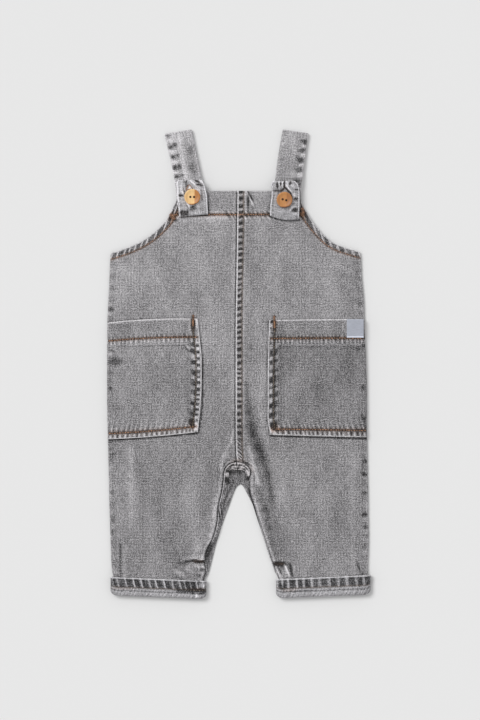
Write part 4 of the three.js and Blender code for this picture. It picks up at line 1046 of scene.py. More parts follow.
def bib_hem(x, from_top, seed):
    """Relief, wear and rust of the bib's hem, and where the hem is."""
    puckers = Puckers(seed + 1, 140, 4.4, 0.3)
    past = from_top - BIB_HEM
    hem = smooth(0.9, -0.1, past)
    over, under = smooth(-4.6, -3.2, past) * smooth(-0.7, -1.4, past), smooth(0.7, 1.4, past)
    ridges, hollows = puckers.ridge(x - 0.6 * past, 0.42), puckers.hollow(x - 0.6 * past)
    fading = under * np.exp(-np.clip(past, 0, 60) / 2.8)
    relief = hem * HEM_RISE - 0.25 * bump(past, 0.8) + (over + fading) * 0.12 * (ridges - hollows)
    wear = (over * (0.42 * ridges - 0.34 * hollows) + fading * (1.7 * ridges - 0.6 * hollows)
            - 1.1 * bump(past, 1.3) + 0.2 * bump(from_top - 0.5, 0.5))
    return relief, wear, 0.9 * bump(past, 1.7), hem


def lapped_band(run, inner, y, seed):
    """Relief, wear and rust of the lapped centre seam, and where its band is."""
    bars = Puckers(seed + 2, 290, 6.1, 0.32).hollow(run + 0.1 * inner, 0.5)
    ropes = Puckers(seed + 5, 290, 3.7, 0.3).ridge(run - 0.9 * inner, 0.5)
    low_end = smooth(-68, -80, y)
    inside = smooth(1.5, 2.1, inner) * smooth(6.9, 4.9, inner)
    band = smooth(SEAM_BAND + 0.7, SEAM_BAND - 0.2, inner)
    relief = (HEM_RISE + 0.25 * bump(inner - 1.1, 0.6) - 0.3 * bump(inner - 6.7, 0.7)
              - 0.2 * inside * bars * (1 - low_end))
    wear = (0.95 * bump(inner - 1.0, 0.6)
            + inside * ((1 - low_end) * (0.12 - 1.8 * bars) + low_end * (1.5 * ropes - 0.85))
            - 0.45 * bump(inner - 6.6, 0.9) + 0.3 * bump(inner - 8.4, 0.7)
            - 0.3 * bump(inner - 10.2, 1.2) * bars)
    return relief, wear, 0.4 * bump(inner - 6.4, 1.1) + 0.06 * inside, band


def front_panel(side):
    """One front: its crown over the back, hems, seam band, folds, puckers and wear."""
    lapped = side == "right"
    seed = {"left": 11, "right": 23}[side]
    r = {k: v[:, None] for k, v in panel_rows(side, 1.15).items()}
    x, y, place, inner, _ = spread_across(r["outer_x"], r["outer_y"], r["front_x"], r["front_y"],
                                          10.0, 0.8, 80)
    legged = smooth(-96, -112, r["front_y"])
    crown = r["crown"] * crown_shape(place) * mix(1, crown_shape(inner), legged)
    folds = line_heights(x, y, FOLDS) * smooth(0, 8, place)
    creases = line_heights(x, y, CREASES)
    floor = r["lift"] + CLOTH + SEAM_GAP + r["rise"]
    low = np.maximum(floor, floor + crown + folds + 0.5 * creases)

    # The hems and the centre seam
    hem_relief, hem_wear, hem_rust, to_armhole = armhole_hem(side, x, y, seed)
    bib_relief, bib_wear, bib_rust, bib = bib_hem(x, BIB_TOP - y, seed)
    clear = smooth(4.5, 7, to_armhole)
    relief = np.maximum(hem_relief, bib_relief)
    wear = hem_wear + bib_wear * clear
    rust = hem_rust + bib_rust * clear
    seam_here = 1 - smooth(-94, -98.5, y)
    if lapped:
        band_relief, band_wear, band_rust, band = lapped_band(r["front_run"], inner, y, seed)
        band = band * seam_here
        relief = np.maximum(relief, band * band_relief + 0.35 * bib * band)
        wear = wear * (1 - 0.8 * band) + seam_here * band_wear
        rust = rust + seam_here * band_rust
    else:
        # Painted shade: the left front darkens along its inner edge, in the groove under the lapped right
        # front
        wear = wear - seam_here * (0.8 * bump(inner, 0.7) - 0.1 * bump(inner - 2.4, 1.4))
        relief = relief - 0.3 * seam_here * bump(inner, 0.8)

    # Waves along the side seam and the legs' inner edges
    waves = Puckers(seed + 3, 520, 11, 0.5).at(r["outer_run"] + 0.3 * place)
    plain_side = 1 - smooth(0.1, 0.6, r["hem"])
    wear = wear + plain_side * (0.25 * waves * bump(place - 2.5, 3) + 0.16 * bump(place - 0.7, 0.6)
                                - 0.12 * bump(place - 4.6, 1.2))
    relief = relief + plain_side * 0.12 * waves * bump(place - 2.4, 3)
    leg_waves = Puckers(seed + 4, 520, 9, 0.5).at(r["front_run"] + 0.5 * inner)
    fringe, shade = (0.45, 0.45) if lapped else (0.34, 0.7)
    wear = wear + legged * (fringe * bump(inner - 2.2, 1.4) - (shade + 0.4 * leg_waves) * bump(inner, 0.8)
                            + 0.16 * leg_waves * bump(inner - 4, 4))
    relief = relief + legged * (0.35 * bump(inner - 2.2, 1.6) + 0.14 * leg_waves * bump(inner - 4, 4))

    # The folds and creases also tint the cloth: lighter on their crests and darker in their troughs, as
    # painted light and shade; the tables add marks and painted shadows
    marks = spots(x, y, FRONT_MARKS_AND_SHADOWS) + 0.5 * np.clip(creases, -1.2, 1.0)
    relief = relief + 0.22 * np.clip(marks, -1.2, 1)
    wear = wear + 0.12 * folds + marks + line_heights(x, y, FRONT_TONE_AND_SHADOWS)
    wear = wear + mix(TONE["bib"], TONE["legs"], smooth(30, -70, y))
    rust = np.clip(rust + spots(x, y, RUST_MARKS), 0, 1)
    rounding = np.maximum(edge_drop(np.minimum(place, inner)), edge_drop(r["ends"]))
    z = np.maximum(low + CLOTH + relief + 0.3 * creases - rounding, low + 0.6)
    return cloth_shell(f"front_{side}_cloth", grid(x, y, z), grid(x, y, low + 0.35 * rounding), grid(x, y),
                       cloth_values(wear, 0.25, rust))


def back_panel(side):
    """One back, flat on the surface but for soft ripples, lifted at its end into the turn-up."""
    r = {k: v[:, None] for k, v in panel_rows(side, 2.4).items()}
    inward, seed = {"left": (1, 71), "right": (-1, 83)}[side]
    start_x = r["outer_x"] + inward * BACK_INSET * smooth(1.5, 0.2, r["lift"])
    x, y, place, inner, t = spread_across(start_x, r["outer_y"], r["back_x"], r["back_y"], 8.0, 1.6, 48)
    y = y - BACK_DROP * smooth(12, 0, r["at"]) * (1 - t)
    waves = Puckers(seed, 620, 9, 0.5).at(r["outer_run"] + 0.4 * place)
    seam = Puckers(5, 400, 7, 0.5).at(y + 400)
    rounding = edge_drop(np.minimum(place, inner)) * 0.6
    ripple = 0.05 * waves * bump(place - 2, 2.5)
    face_z = r["lift"] + CLOTH - rounding + ripple
    back_z = r["lift"] + 0.5 * rounding
    seam_line = 1 - smooth(-116, -122, y)
    wear_down = (0.3 * waves * bump(place - 3, 3) + 0.5 * bump(place - 0.6, 0.6)
                 + seam_line * (0.4 * seam * bump(inner - 3, 2.4) - 0.5 * bump(inner, 0.7)))
    # The inside's tone, with painted shadow under the inseam's roll and in the gaps at its corners
    inside_tone_and_shadows = (TONE["inside"] + line_heights(x, y, BACK_TONE_AND_SHADOWS)
               + 0.3 * bump(inner - 0.8, 0.7) * smooth(-122, -128, y))
    return cloth_shell(f"back_{side}_cloth", grid(x, y, face_z), grid(x, y, back_z), grid(x, y),
                       cloth_values(inside_tone_and_shadows, wear_down, darkest=-1))


def inseam_strip(side):
    """Half of the felled inseam: a rounded, puckered roll beside the front's inner edge."""
    turn, seed = {"left": (-1, 31), "right": (1, 37)}[side]
    r = panel_rows(side, 0.9)
    keep = (r["fell"] > 0.05) & (r["lift"] < 0.75) & (r["front_y"] < -96.9)
    x, y, lift = (r[name][keep][:, None] for name in ("front_x", "front_y", "lift"))
    width = np.maximum(r["fell"][keep], FELL_LEAST)[:, None]
    run = distance_along(x[:, 0], y[:, 0])[:, None]
    soft = [np.convolve(np.pad(line[:, 0], 4, "edge"), np.ones(9) / 9, "valid") for line in (x, y)]
    along = np.stack([np.gradient(line) for line in soft], 1)
    along[0] = (turn, 0)
    along /= np.linalg.norm(along, axis=1)[:, None]
    t = np.linspace(0, 1, 19)[None, :]
    away = FELL_GAP + width * t
    px = x + turn * along[:, 1:] * away
    py = y - turn * along[:, :1] * away
    if side == "right":
        px = px + SEAM_GAP * smooth(6, 0, run)

    # A puckered dome with two grooves along it, thinner and flatter where it is narrow
    low = lift + CLOTH + SEAM_GAP + 0 * t
    arch = bump(run, 22)
    dome = np.sqrt(np.clip(1 - (2 * t - 1) ** 2, 0, 1))
    narrow = smooth(2.0, 1.1, width)
    waves = Puckers(seed, 160, 3.6, 0.45).at(run + 4.2 * t)
    wander = 0.06 * Puckers(33, 160, 14, 0.4).at(run)
    broken = Puckers(53, 160, 9, 0.5).at(run + 4 * t)
    grooves = (bump(t - 0.38 - wander, 0.17) + bump(t - 0.74 - 0.8 * wander, 0.17)) * (0.65 + 0.35 * broken)
    crests = bump(t - 0.18, 0.1) + bump(t - 0.53 - wander, 0.09) + bump(t - 0.86, 0.08)
    ribs = Puckers(seed, 160, 2.6, 0.4).ridge(run + 2.0 * t, 0.4)
    high = (low + FELL_RISE * (0.35 + 0.65 * dome) * (1 - 0.6 * narrow) + 0.22 * waves * dome
            + 0.5 * arch * bump(t - 0.35, 0.25) - 0.45 * grooves * (1 - narrow))
    # Paler on its crests and darker in its grooves; painted shade darkens its rounded flanks, the marks table
    # paints shadows in the gaps beside and under it, and where it is narrow its upper part is painted dark as
    # the shadow at the leg's edge
    wear = (0.85 * crests - 1.5 * grooves - 0.9 * (1 - dome) ** 2 - 0.1 + 0.4 * arch
            + (0.25 + 0.45 * arch) * (ribs - 0.45) * dome + spots(px, py, INSEAM_MARKS_AND_SHADOWS))
    wear = mix(wear, mix(-1.2, 0.35, smooth(-154, -166, py)), narrow)
    return cloth_shell(f"inseam_{side}_cloth", grid(px, py, high), grid(px, py, low), grid(away, run),
                       cloth_values(wear, 0, 0.12 * arch))


# Pockets and label

def pocket_hem(from_top, place, puckers):
    """The pocket's top hem: its share of each place, then the relief, wear and rust of its seam."""
    past = from_top - POCKET_HEM
    over = smooth(-4.4, -3, past) * smooth(-0.7, -1.3, past)
    under = smooth(0.7, 1.3, past) * smooth(6.6, 3.6, past)
    ridges, hollows = puckers.ridge(place, 0.28), puckers.hollow(place)
    relief = 0.14 * under * (ridges - hollows) - 0.25 * bump(past, 0.8)
    wear = (under * (0.75 * ridges - 0.4 * hollows) + over * (0.25 * ridges - 0.4 * hollows)
            - 0.95 * bump(past, 0.95) - 0.3 * bump(past - 8.2, 0.8) + 0.1 * smooth(8.4, 7.4, past)
            - 0.12 * smooth(1, 3, from_top) * smooth(0.5, -0.5, past) + 1.0 * bump(from_top - 0.55, 0.55))
    return smooth(0.9, -0.1, past), relief, wear, 0.8 * bump(past, 1.6)


def pocket_border(side, from_top, from_bottom, inner, puckers, seed):
    """The turned border at the pocket's inner side, told as the hem is."""
    cells, dots = Puckers(seed + 1, 150, 8.9, 0.3), Puckers(seed + 3, 150, 5.8, 0.3)
    beside = inner - POCKET_BORDER
    below = smooth(20, 26, from_top) * smooth(2, 8, from_bottom)
    inward = smooth(5.6, 6.8, inner) * smooth(11.8, 8.4, inner)
    near = smooth(1.4, 1.9, inner) * smooth(5.2, 4.2, inner)
    drift = from_top + 0.35 * inner + 1.2 * dots.at(0.5 * from_top)
    smudges, blobs = cells.hollow(drift, 0.44), cells.ridge(drift, 0.5)
    uneven = 0.6 + 0.4 * puckers.at(0.35 * from_top + 0.5 * inner)
    if side == "left":
        specks = dots.hollow(from_top, 0.4)
        wear = (inward * (0.4 * blobs - 1.2 * smudges * (0.5 + 0.5 * uneven))
                + near * (0.7 * dots.ridge(from_top, 0.4) - 1.6 * specks * (0.3 + 0.7 * uneven)
                          + 0.15 - 0.25 * smudges))
    else:
        specks = smudges
        wear = (inward * (0.45 * blobs - 0.6 * smudges * uneven)
                + near * (0.75 * blobs - 1.4 * smudges * uneven) - 0.3 * bump(beside - 1.6, 1.6))
    relief = -0.2 * below * (inward * smudges + near * specks) - 0.25 * bump(beside, 0.8)
    wear = (below * wear - 0.85 * bump(beside - 0.3, 1.0) * smooth(2, 6, from_bottom)
            + 1.0 * bump(inner - 0.5, 0.55))
    return smooth(0.9, -0.1, beside), relief, wear, 0.3 * below * bump(beside - 0.3, 1.0)


def pocket_foot(from_bottom, place, inner, puckers, seed):
    """The turned border at the pocket's foot, told as the hem is."""
    above = from_bottom - POCKET_FOOT
    strip = smooth(0.9, 1.5, from_bottom) * smooth(5.0, 4.2, from_bottom)
    rising = smooth(0.8, 1.5, above) * np.exp(-np.clip(above, 0, 60) / 4.2)
    leaned = place - 0.15 * from_bottom - 0.25 * np.clip(above, 0, 12)
    own = Puckers(seed + 2, 140, 4.5, 0.28)
    ridges, hollows = own.ridge(leaned, 0.3), own.hollow(leaned, 0.36)
    relief = 0.14 * (strip + rising) * (ridges - hollows) - 0.25 * bump(above, 0.8)
    wear = (strip * (0.75 * ridges - 1.3 * hollows * (0.6 + 0.4 * puckers.at(0.4 * place)) + 0.1)
            + rising * (1.15 * own.ridge(leaned, 0.22) - 0.5 * hollows)
            - 0.95 * bump(above, 1.0) + 1.0 * bump(from_bottom - 0.5, 0.5))
    rust = 0.75 * bump(above, 1.6) + 0.3 * strip * hollows
    return smooth(0.9, -0.1, above), relief, wear * smooth(1.2, 5, inner), rust


def pocket_patch(side, front):
    """A patch pocket laid on its front, with its top hem, turned borders, puckers and wear."""
    seed = {"left": 43, "right": 59}[side]
    table = columns(POCKET_NAMES, POCKET_ROWS[side])
    knots = distance_along(table["inner_x"], table["inner_y"])
    at = marks_along(knots[-1], 0.85)
    r = {name: curve_through(knots, table[name], at)[:, None] for name in POCKET_NAMES}
    x, y, place, inner, t = spread_across(r["outer_x"], r["outer_y"], r["inner_x"], r["inner_y"],
                                          11.0, 0.75, 74)
    y = y + r["bow"] * 4 * t * (1 - t)
    from_top = at[:, None] + 0 * x
    from_bottom = knots[-1] - from_top
    mouth = 0.7 * bump(from_top, 14) * np.sin(math.pi * np.clip(t, 0, 1)) ** 0.7
    low = heights_under(front, x, y) + LAY_GAP + mouth

    puckers = Puckers(seed, 130, 4.1, 0.28)
    hem, hem_relief, hem_wear, hem_rust = pocket_hem(from_top, place, puckers)
    border, side_relief, side_wear, side_rust = pocket_border(side, from_top, from_bottom, inner,
                                                              puckers, seed)
    foot, foot_relief, foot_wear, foot_rust = pocket_foot(from_bottom, place, inner, puckers, seed)
    marks = spots(x, y, POCKET_MARKS[side])
    wear = (hem_wear * smooth(0.6, 2.4, inner) + side_wear + foot_wear + marks
            - 0.12 * bump(inner - 13, 3.0) + TONE[f"pocket_{side}"])
    relief = (np.maximum(np.maximum(hem, border), foot) * POCKET_RISE
              + hem_relief + side_relief + foot_relief + 0.15 * np.clip(marks, -1, 1)
              + 0.2 * bump(inner - 0.9, 0.6) + 0.2 * bump(from_bottom - 0.9, 0.6))
    rust = (hem_rust + side_rust + foot_rust) * smooth(0.6, 1.6, inner)
    rust = np.clip(rust + spots(x, y, POCKET_RUST[side]), 0, 1)
    rounding = np.maximum(edge_drop(np.minimum(place, inner)), edge_drop(np.minimum(from_top, from_bottom)))
    z = np.maximum(low + CLOTH + relief - rounding, low + 0.5)
    return cloth_shell(f"pocket_{side}_cloth", grid(x, y, z), grid(x, y, low + 0.3 * rounding), grid(x, y),
                       cloth_values(wear, 0, rust))


def label_tape(pocket):
    """The small woven label, bare, sewn along its lower edge to the pocket's hem."""
    width, height = LABEL["right"] - LABEL["left"], LABEL["top"] - LABEL["bottom"]
    across = marks_along(width, 0.7, (0, 0.2, 0.5))[None, :]
    down = marks_along(height, 0.7, (0, 0.2, 0.5))[:, None]
    x = LABEL["left"] + across + 0 * down
    y = LABEL["top"] - down + 0 * across
    to_edge = np.minimum(np.minimum(across, width - across), np.minimum(down, height - down))
    surface = heights_under(pocket, x, y)
    low = np.maximum(0.75 * np.median(surface) + 0.25 * surface + 0.12, surface + 0.08)
    drop = np.clip(1 - to_edge / 0.5, 0, 1) ** 2 * 0.3
    seam = 0.15 * bump(down - height + 1.6, 0.5)
    fringe = 1.7 * bump(down - height + 0.6, 0.7) + 0.35 * bump(down - 0.4, 0.4)
    face, back = grid(x, y, low + LABEL_CLOTH - drop - seam), grid(x, y, low + 0.3 * drop)
    return cloth_shell("label_cloth", face, back, grid(x, y), {"wear": both_sides(fringe + 0 * x, 0 * x)})


# Straps

def strap_path(strap, step):
    """Rows along a strap in the order of its cloth: edges, bow, height, outward turn and shift."""
    front = columns(STRAP_NAMES, strap["front_run"])
    back = columns(STRAP_NAMES, [strap["root"], *strap["front_run"][2::-1]])
    end = columns(STRAP_NAMES, [strap["front_run"][-1], *strap["end"]])
    front["height"] = np.array(FRONT_RUN_HEIGHTS)
    back["height"] = np.full(len(back["bow"]), STRAP_FLOOR)
    end["height"] = np.full(len(end["bow"]), STRAP_END_HEIGHT)

    def run(table, turn, part):
        middle_x = (table["left_x"] + table["right_x"]) / 2
        middle_y = (table["left_y"] + table["right_y"]) / 2
        knots = distance_along(middle_x, middle_y)
        at = np.linspace(0, knots[-1], int(knots[-1] / step) + 2)
        if part == 2:
            at = marks_along(knots[-1], step)
        rows = {name: curve_through(knots, table[name], at) for name in STRAP_NAMES}
        rows["height"] = np.interp(at, knots, table["height"])
        rows["turn"] = np.full_like(at, turn)
        rows["shift"] = np.zeros_like(at)
        rows["part"] = np.full_like(at, part)
        return rows

    def turnover(table, low_height, direction, part):
        angle = np.linspace(0, math.pi, 12)[1:-1]
        rows = {name: np.full_like(angle, table[name][0]) for name in STRAP_NAMES}
        rows["height"] = low_height + FOLD_RADIUS * (1 - np.cos(angle))
        rows["shift"] = direction * FOLD_RADIUS * np.sin(angle)
        rows["turn"] = math.pi - angle if direction > 0 else angle
        rows["part"] = np.full_like(angle, part)
        return rows

    parts = [run(back, math.pi, 0), turnover(front, STRAP_FLOOR, 1, 0.5), run(front, 0.0, 1),
             turnover(end, front["height"][-1], -1, 1.5), run(end, math.pi, 2)]
    return {name: np.concatenate([part[name] for part in parts]) for name in parts[0]}


def strap_ribbon(side):
    """One strap as a single folded ribbon, with worn edges and a puckered, turned-up end."""
    strap = STRAPS[side]
    r = {k: v[:, None] for k, v in strap_path(strap, 0.7).items()}
    x, y, place, rest, t = spread_across(r["left_x"], r["left_y"], r["right_x"], r["right_y"], 6.0, 0.6, 26)
    width = place + rest
    across_x = (r["right_x"] - r["left_x"]) / width
    across_y = (r["right_y"] - r["left_y"]) / width
    move = r["shift"] + r["bow"] * 4 * t * (1 - t)
    x, y = x - across_y * move, y + across_x * move
    middle = np.stack([x, y, r["height"] + 0 * t], 2)
    out = np.stack([-across_y * np.sin(r["turn"]) + 0 * t, across_x * np.sin(r["turn"]) + 0 * t,
                    np.cos(r["turn"]) + 0 * t], 2)
    steps = np.linalg.norm(np.diff(middle[:, middle.shape[1] // 2], axis=0), axis=1)
    run = np.concatenate([[0], np.cumsum(steps)])[:, None]

    edge, other = (place, rest) if side == "left" else (rest, place)
    fine = Puckers({"left": 101, "right": 103}[side], 420, 5.2, 0.4).at(run + 0.4 * place)
    to_edge = np.minimum(place, rest)
    shoulder = float(run[np.argmax(r["part"][:, 0] == 1), 0])
    past = run - shoulder
    front_run = (r["part"] > 0.9) & (r["part"] < 1.3)
    smudges = np.where(front_run, spots(x, y, STRAP_MARKS[side]), 0)
    streak = 0.32 * bump(edge - 14.0 + 0.07 * past, 2.2) - 0.26 * bump(other - 6.5, 4.5) * smooth(6, 16, past)
    wear_face = (TONE[f"strap_{side}"] + 0.12 * fine * bump(to_edge - 3, 3) + 0.3 * bump(edge - 0.4, 0.5)
                 + np.where(front_run, strap["streak"] * streak, 0) + smudges
                 + 0.12 * bump(edge - 3, 3) * smooth(0, 12, past))
    on_end = (r["part"] > 1.4) + 0 * t
    # The ends' marks: worn tone, with painted shadow at the left end's raised top corner
    end_marks_and_shadows = spots(x, y, END_MARKS_AND_SHADOWS[side])
    last = float(run[-1, 0])
    to_tip = last - run
    back_wear_and_shade = (TONE[f"end_{side}"] + 0.16 * fine * bump(to_edge - 2.5, 2.5)
                 + 0.85 * bump(to_edge - 0.6, 0.55) - 0.25 * bump(to_edge - 2.0, 0.6)
                 + 1.25 * on_end * end_marks_and_shadows + 0.5 * bump(to_tip - 0.7, 0.6))
    rust_back = on_end * np.clip(-0.15 * end_marks_and_shadows, 0, 0.3)

    relief_face = 0.06 * fine * bump(to_edge - 3, 3) + 0.16 * np.clip(smudges, -1.2, 0.6)
    relief_back = on_end * (0.22 * np.clip(end_marks_and_shadows, -1.4, 1) + 0.18 * bump(to_edge - 1.2, 1.0)
                            + 0.1 * fine * bump(to_edge - 3, 2.4))
    rounding = edge_drop(to_edge) * 1.1
    rounding = np.maximum(rounding, np.where(r["part"] > 1.9, edge_drop(to_tip) * 1.1, 0))
    half = STRAP_CLOTH / 2
    swell = 0.35 * on_end * smooth(0, 8, place) * smooth(0, 8, rest) * bump(to_tip - 6, 7)
    middle[..., 2] += swell
    floor_side = (r["part"] < 0.3) + 0 * t
    face = middle + out * (half + np.where(floor_side > 0, 0, relief_face) - rounding)[..., None]
    back = middle - out * (half + relief_back - rounding)[..., None]
    values = {"wear": both_sides(np.clip(wear_face, -1, 1), np.clip(back_wear_and_shade, -1, 1)),
              "rust": both_sides(0 * x, rust_back)}
    obj = cloth_shell(f"strap_{side}_cloth", face, back, grid(place, run), values)
    one_side = (x.shape[0] - 1) * (x.shape[1] - 1)
    finish = np.zeros(len(obj.data.polygons), np.int32)
    finish[one_side:2 * one_side] = 1
    obj.data.polygons.foreach_set("material_index", finish)
    return obj, last


# Turn-ups

def cuff_wall(height):
    """The rows of a turn-up's wall as columns, all measured down from its top edge."""
    wall = columns(WALL_NAMES, [row[1:] for row in CUFF_WALL])
    upward = np.array([row[0] == "bottom" for row in CUFF_WALL])
    for name in ("face_away", "back_away"):
        wall[name] = np.where(upward, height - wall[name], wall[name])
    return wall


def turnup_ring(side):
    """A turn-up: a flattened ring round the leg's end, puckered above its stitch line."""
    cuff = CUFFS[side]
    start, stop = cuff["left_x"] + CUFF_HALF_HEIGHT, cuff["right_x"] - CUFF_HALF_HEIGHT
    flat = np.linspace(start, stop, int((stop - start) / 0.65) + 1)
    arc = np.linspace(-math.pi / 2, math.pi / 2, 12)[1:-1]
    station_x = np.concatenate([flat, np.full(len(arc), stop), flat[::-1], np.full(len(arc), start)])
    quarter = np.full(len(flat), math.pi / 2)
    angle = np.concatenate([-quarter, arc, quarter, arc + math.pi])
    loop = distance_along(station_x + CUFF_HALF_HEIGHT * np.cos(angle), CUFF_HALF_HEIGHT * np.sin(angle))
    whole = loop[-1] + (station_x[1] - station_x[0])
    height = abs(cuff["top"][0] - cuff["bottom"][0])
    wall = cuff_wall(height)
    level = distance_along(wall["face_inset"], wall["face_away"])
    at = np.unique(np.concatenate([np.linspace(0, level[-1], 30), level]))
    levels = {name: np.interp(at, level, wall[name]) for name in WALL_NAMES}
    waves = Puckers(cuff["seeds"][0], whole, cuff["pitch"], 0.32)
    fine = Puckers(cuff["seeds"][1], whole, 4.2, 0.5)
    down = np.linspace(0, 1, len(at))[None, :] * level[-1]
    run = loop[:, None]
    lean = cuff["lean"] * (np.clip(down, 0, 12) / 9) ** 1.4
    ridge = waves.ridge(run + lean, cuff["ridge"])
    deep = waves.hollow(run + lean - 0.8, 0.6) * (0.6 + 0.4 * waves.at(0.31 * run + 0.5 * down))
    little = fine.at(run - 0.6 * down)
    mottle = fine.hollow(run + 1.5 * down, 0.5)
    band = smooth(0.9, 2.0, down) * smooth(9.4, 8.4, down)
    lower = smooth(10.2, 11.2, down)
    inward = 0.4 * band * (1 - ridge) + 0.16 * lower * (1 - little) / 2

    def place(inset, away):
        reach = CUFF_HALF_HEIGHT - inset
        x = station_x[:, None] + reach * np.cos(angle)[:, None]
        part = (x - cuff["left_x"]) / (cuff["right_x"] - cuff["left_x"])
        top = mix(cuff["top"][0], cuff["top"][1], part)
        bottom = mix(cuff["bottom"][0], cuff["bottom"][1], part)
        to_end = np.minimum(x - cuff["left_x"], cuff["right_x"] - x) / CUFF_CORNER
        lifted = CUFF_CORNER_LIFT * np.clip(1 - to_end, 0, 1) ** 2
        share = away[None, :] / height
        y = mix(top, bottom + lifted, share)
        wavy = 0.5 * ridge * bump(down, 1.6)
        return np.stack([x, y + wavy, CUFF_HALF_HEIGHT + reach * np.sin(angle)[:, None]], 2)

    face = place(levels["face_inset"][None, :] + inward, levels["face_away"])
    back = place(levels["back_inset"][None, :] + 0 * inward, levels["back_away"])
    wear = (band * (cuff["pale"] * ridge - 0.56 - 0.6 * deep - 0.1 * mottle) + 0.75 * bump(down - 0.6, 0.7)
            - 0.55 * bump(down - 9.6, 0.9) + lower * (0.22 * little - 0.1)
            + 0.3 * bump(down - 11.4, 0.7) - 0.4 * bump(down - 12.6, 0.5) + 0.25 * bump(down - 14.6, 1.0))
    wear = wear + spots(face[:, :, 0], face[:, :, 1], TURNUP_MARKS)
    rust = 0.35 * bump(down - 9.0, 0.9) + spots(face[:, :, 0], face[:, :, 1], TURNUP_RUST)
    obj = cloth_shell(f"turnup_{side}_cloth", face, back, grid(run + 0 * down, -down),
                      cloth_values(wear, -0.2, rust), ring=True, round_length=whole - loop[-1])
    return obj, whole, level[-1]


# Sewing

def stitch_shape():
    """One stitch of topstitching thread: a small bead with flattened ends, as points and faces."""
    bpy.ops.object.select_all(action="DESELECT")
    bpy.ops.mesh.primitive_uv_sphere_add(segments=8, ring_count=5, radius=0.5)
    bead = bpy.context.object
    bead.rotation_euler = (0, math.pi / 2, 0)
    bpy.ops.object.transform_apply(location=False, rotation=True, scale=False)
    bpy.ops.object.mode_set(mode="EDIT")
    bpy.ops.mesh.select_all(action="SELECT")
    bpy.ops.mesh.tris_convert_to_quads()
    bpy.ops.object.mode_set(mode="OBJECT")
    points = np.array([v.co for v in bead.data.vertices])
    points[:, 0] = np.sign(points[:, 0]) * 0.5 * np.abs(points[:, 0] * 2) ** 0.7
    faces = [list(p.vertices) for p in bead.data.polygons]
    mesh = bead.data
    bpy.data.objects.remove(bead)
    bpy.data.meshes.remove(mesh)
    return points, faces


STITCH = {}


def sew(name, stitches, finish):
    """Joins copies of the stitch into one piece. A stitch is its middle, direction, length and width."""
    if not STITCH:
        STITCH["points"], STITCH["faces"] = stitch_shape()
    points, faces = STITCH["points"], STITCH["faces"]
    corners, polygons = [], []
    for place, direction, length, width in stitches:
        forward = Vector(direction).normalized()
        sideways = Vector((0, 0, 1)).cross(forward).normalized()
        up = forward.cross(sideways)
        shaped = (points[:, 0:1] * length * np.array(forward) + points[:, 1:2] * width * np.array(sideways)
                  + points[:, 2:3] * width * 0.8 * np.array(up) + np.array(place))
        start = len(corners) * len(points)
        corners.append(shaped)
        polygons.extend([[start + k for k in face] for face in faces])
    mesh = bpy.data.meshes.new(name)
    mesh.from_pydata((np.concatenate(corners) * MM).tolist(), [], polygons)
    mesh.update()
    obj = bpy.data.objects.new(name, mesh)
    bpy.context.scene.collection.objects.link(obj)
    activate(obj)
    bpy.ops.object.shade_smooth()
    return finish_piece(obj, (), "thread", finish)


def stitch_line(route, under, pitch=2.6, length=1.9, width=1.0, seed=1, sink=0.25):
    """Stitches at an even pitch along a route of points, each laid on what is under it."""
    route = np.array(route, float)
    run = distance_along(route[:, 0], route[:, 1])
    draws = np.random.default_rng(seed)
    stitches = []
    for at in np.arange(pitch / 2, run[-1], pitch):
        ends = []
        for reach in (-length / 2, length / 2):
            x = float(np.interp(at + reach, run, route[:, 0]))
            y = float(np.interp(at + reach, run, route[:, 1]))
            z = surface_height(under, x, y)
            if z is not None:
                ends.append(Vector((x, y, z)))
        if len(ends) == 2:
            middle = (ends[0] + ends[1]) / 2 + Vector((0, 0, width * 0.4 - sink))
            middle.x += draws.uniform(-0.12, 0.12)
            middle.y += draws.uniform(-0.12, 0.12)
            direction = ends[1] - ends[0]
            direction.z *= 0.7
            stitches.append((middle, direction, length * draws.uniform(0.9, 1.08), width))
    return stitches


def bartack(start, end, under, breadth, seed, pitch=0.5):
    """A dense zigzag of thread across a short line."""
    start, end = np.array(start, float), np.array(end, float)
    along = (end - start) / np.linalg.norm(end - start)
    across = np.array([-along[1], along[0]])
    draws = np.random.default_rng(seed)
    stitches = []
    for at in np.arange(0, np.linalg.norm(end - start), pitch):
        x, y = start + along * at
        z = surface_height(under, x, y)
        if z is None:
            continue
        lean = across + along * 0.22 * (1 if len(stitches) % 2 else -1)
        size = breadth * draws.uniform(0.88, 1.1)
        stitches.append(((x, y, z + 0.32), (lean[0], lean[1], 0), size, 0.62))
    return stitches


def centre_route(inset, first_y, last_y, step=3.0):
    """A line beside the right front's inner edge, at a distance in from it."""
    r = panel_rows("right", step)
    away_x, away_y = r["outer_x"] - r["front_x"], r["outer_y"] - r["front_y"]
    length = np.hypot(away_x, away_y)
    x = r["front_x"] + away_x / length * inset
    y = r["front_y"] + away_y / length * inset
    keep = (y <= first_y) & (y >= last_y)
    return np.stack([x[keep], y[keep]], 1)


def armhole_edge(side, step, beyond):
    """The armhole's edge down to its lower corner, carried on straight past it."""
    r = panel_rows(side, step)
    keep = r["hem"] > 0.98
    edge = np.stack([r["outer_x"][keep], r["outer_y"][keep]], 1)
    last = edge[-1] - edge[-4]
    return np.concatenate([edge, [edge[-1] + last / np.linalg.norm(last) * beyond]])


def armhole_route(side, inset):
    """A line beside the armhole's edge, square to it at a distance."""
    edge = armhole_edge(side, 3.0, 1.6)
    edge = edge[edge[:, 1] < 165]
    along = np.gradient(edge, axis=0)
    along /= np.linalg.norm(along, axis=1)[:, None]
    inward = 1 if side == "left" else -1
    return edge + inward * inset * np.stack([-along[:, 1], along[:, 0]], 1)


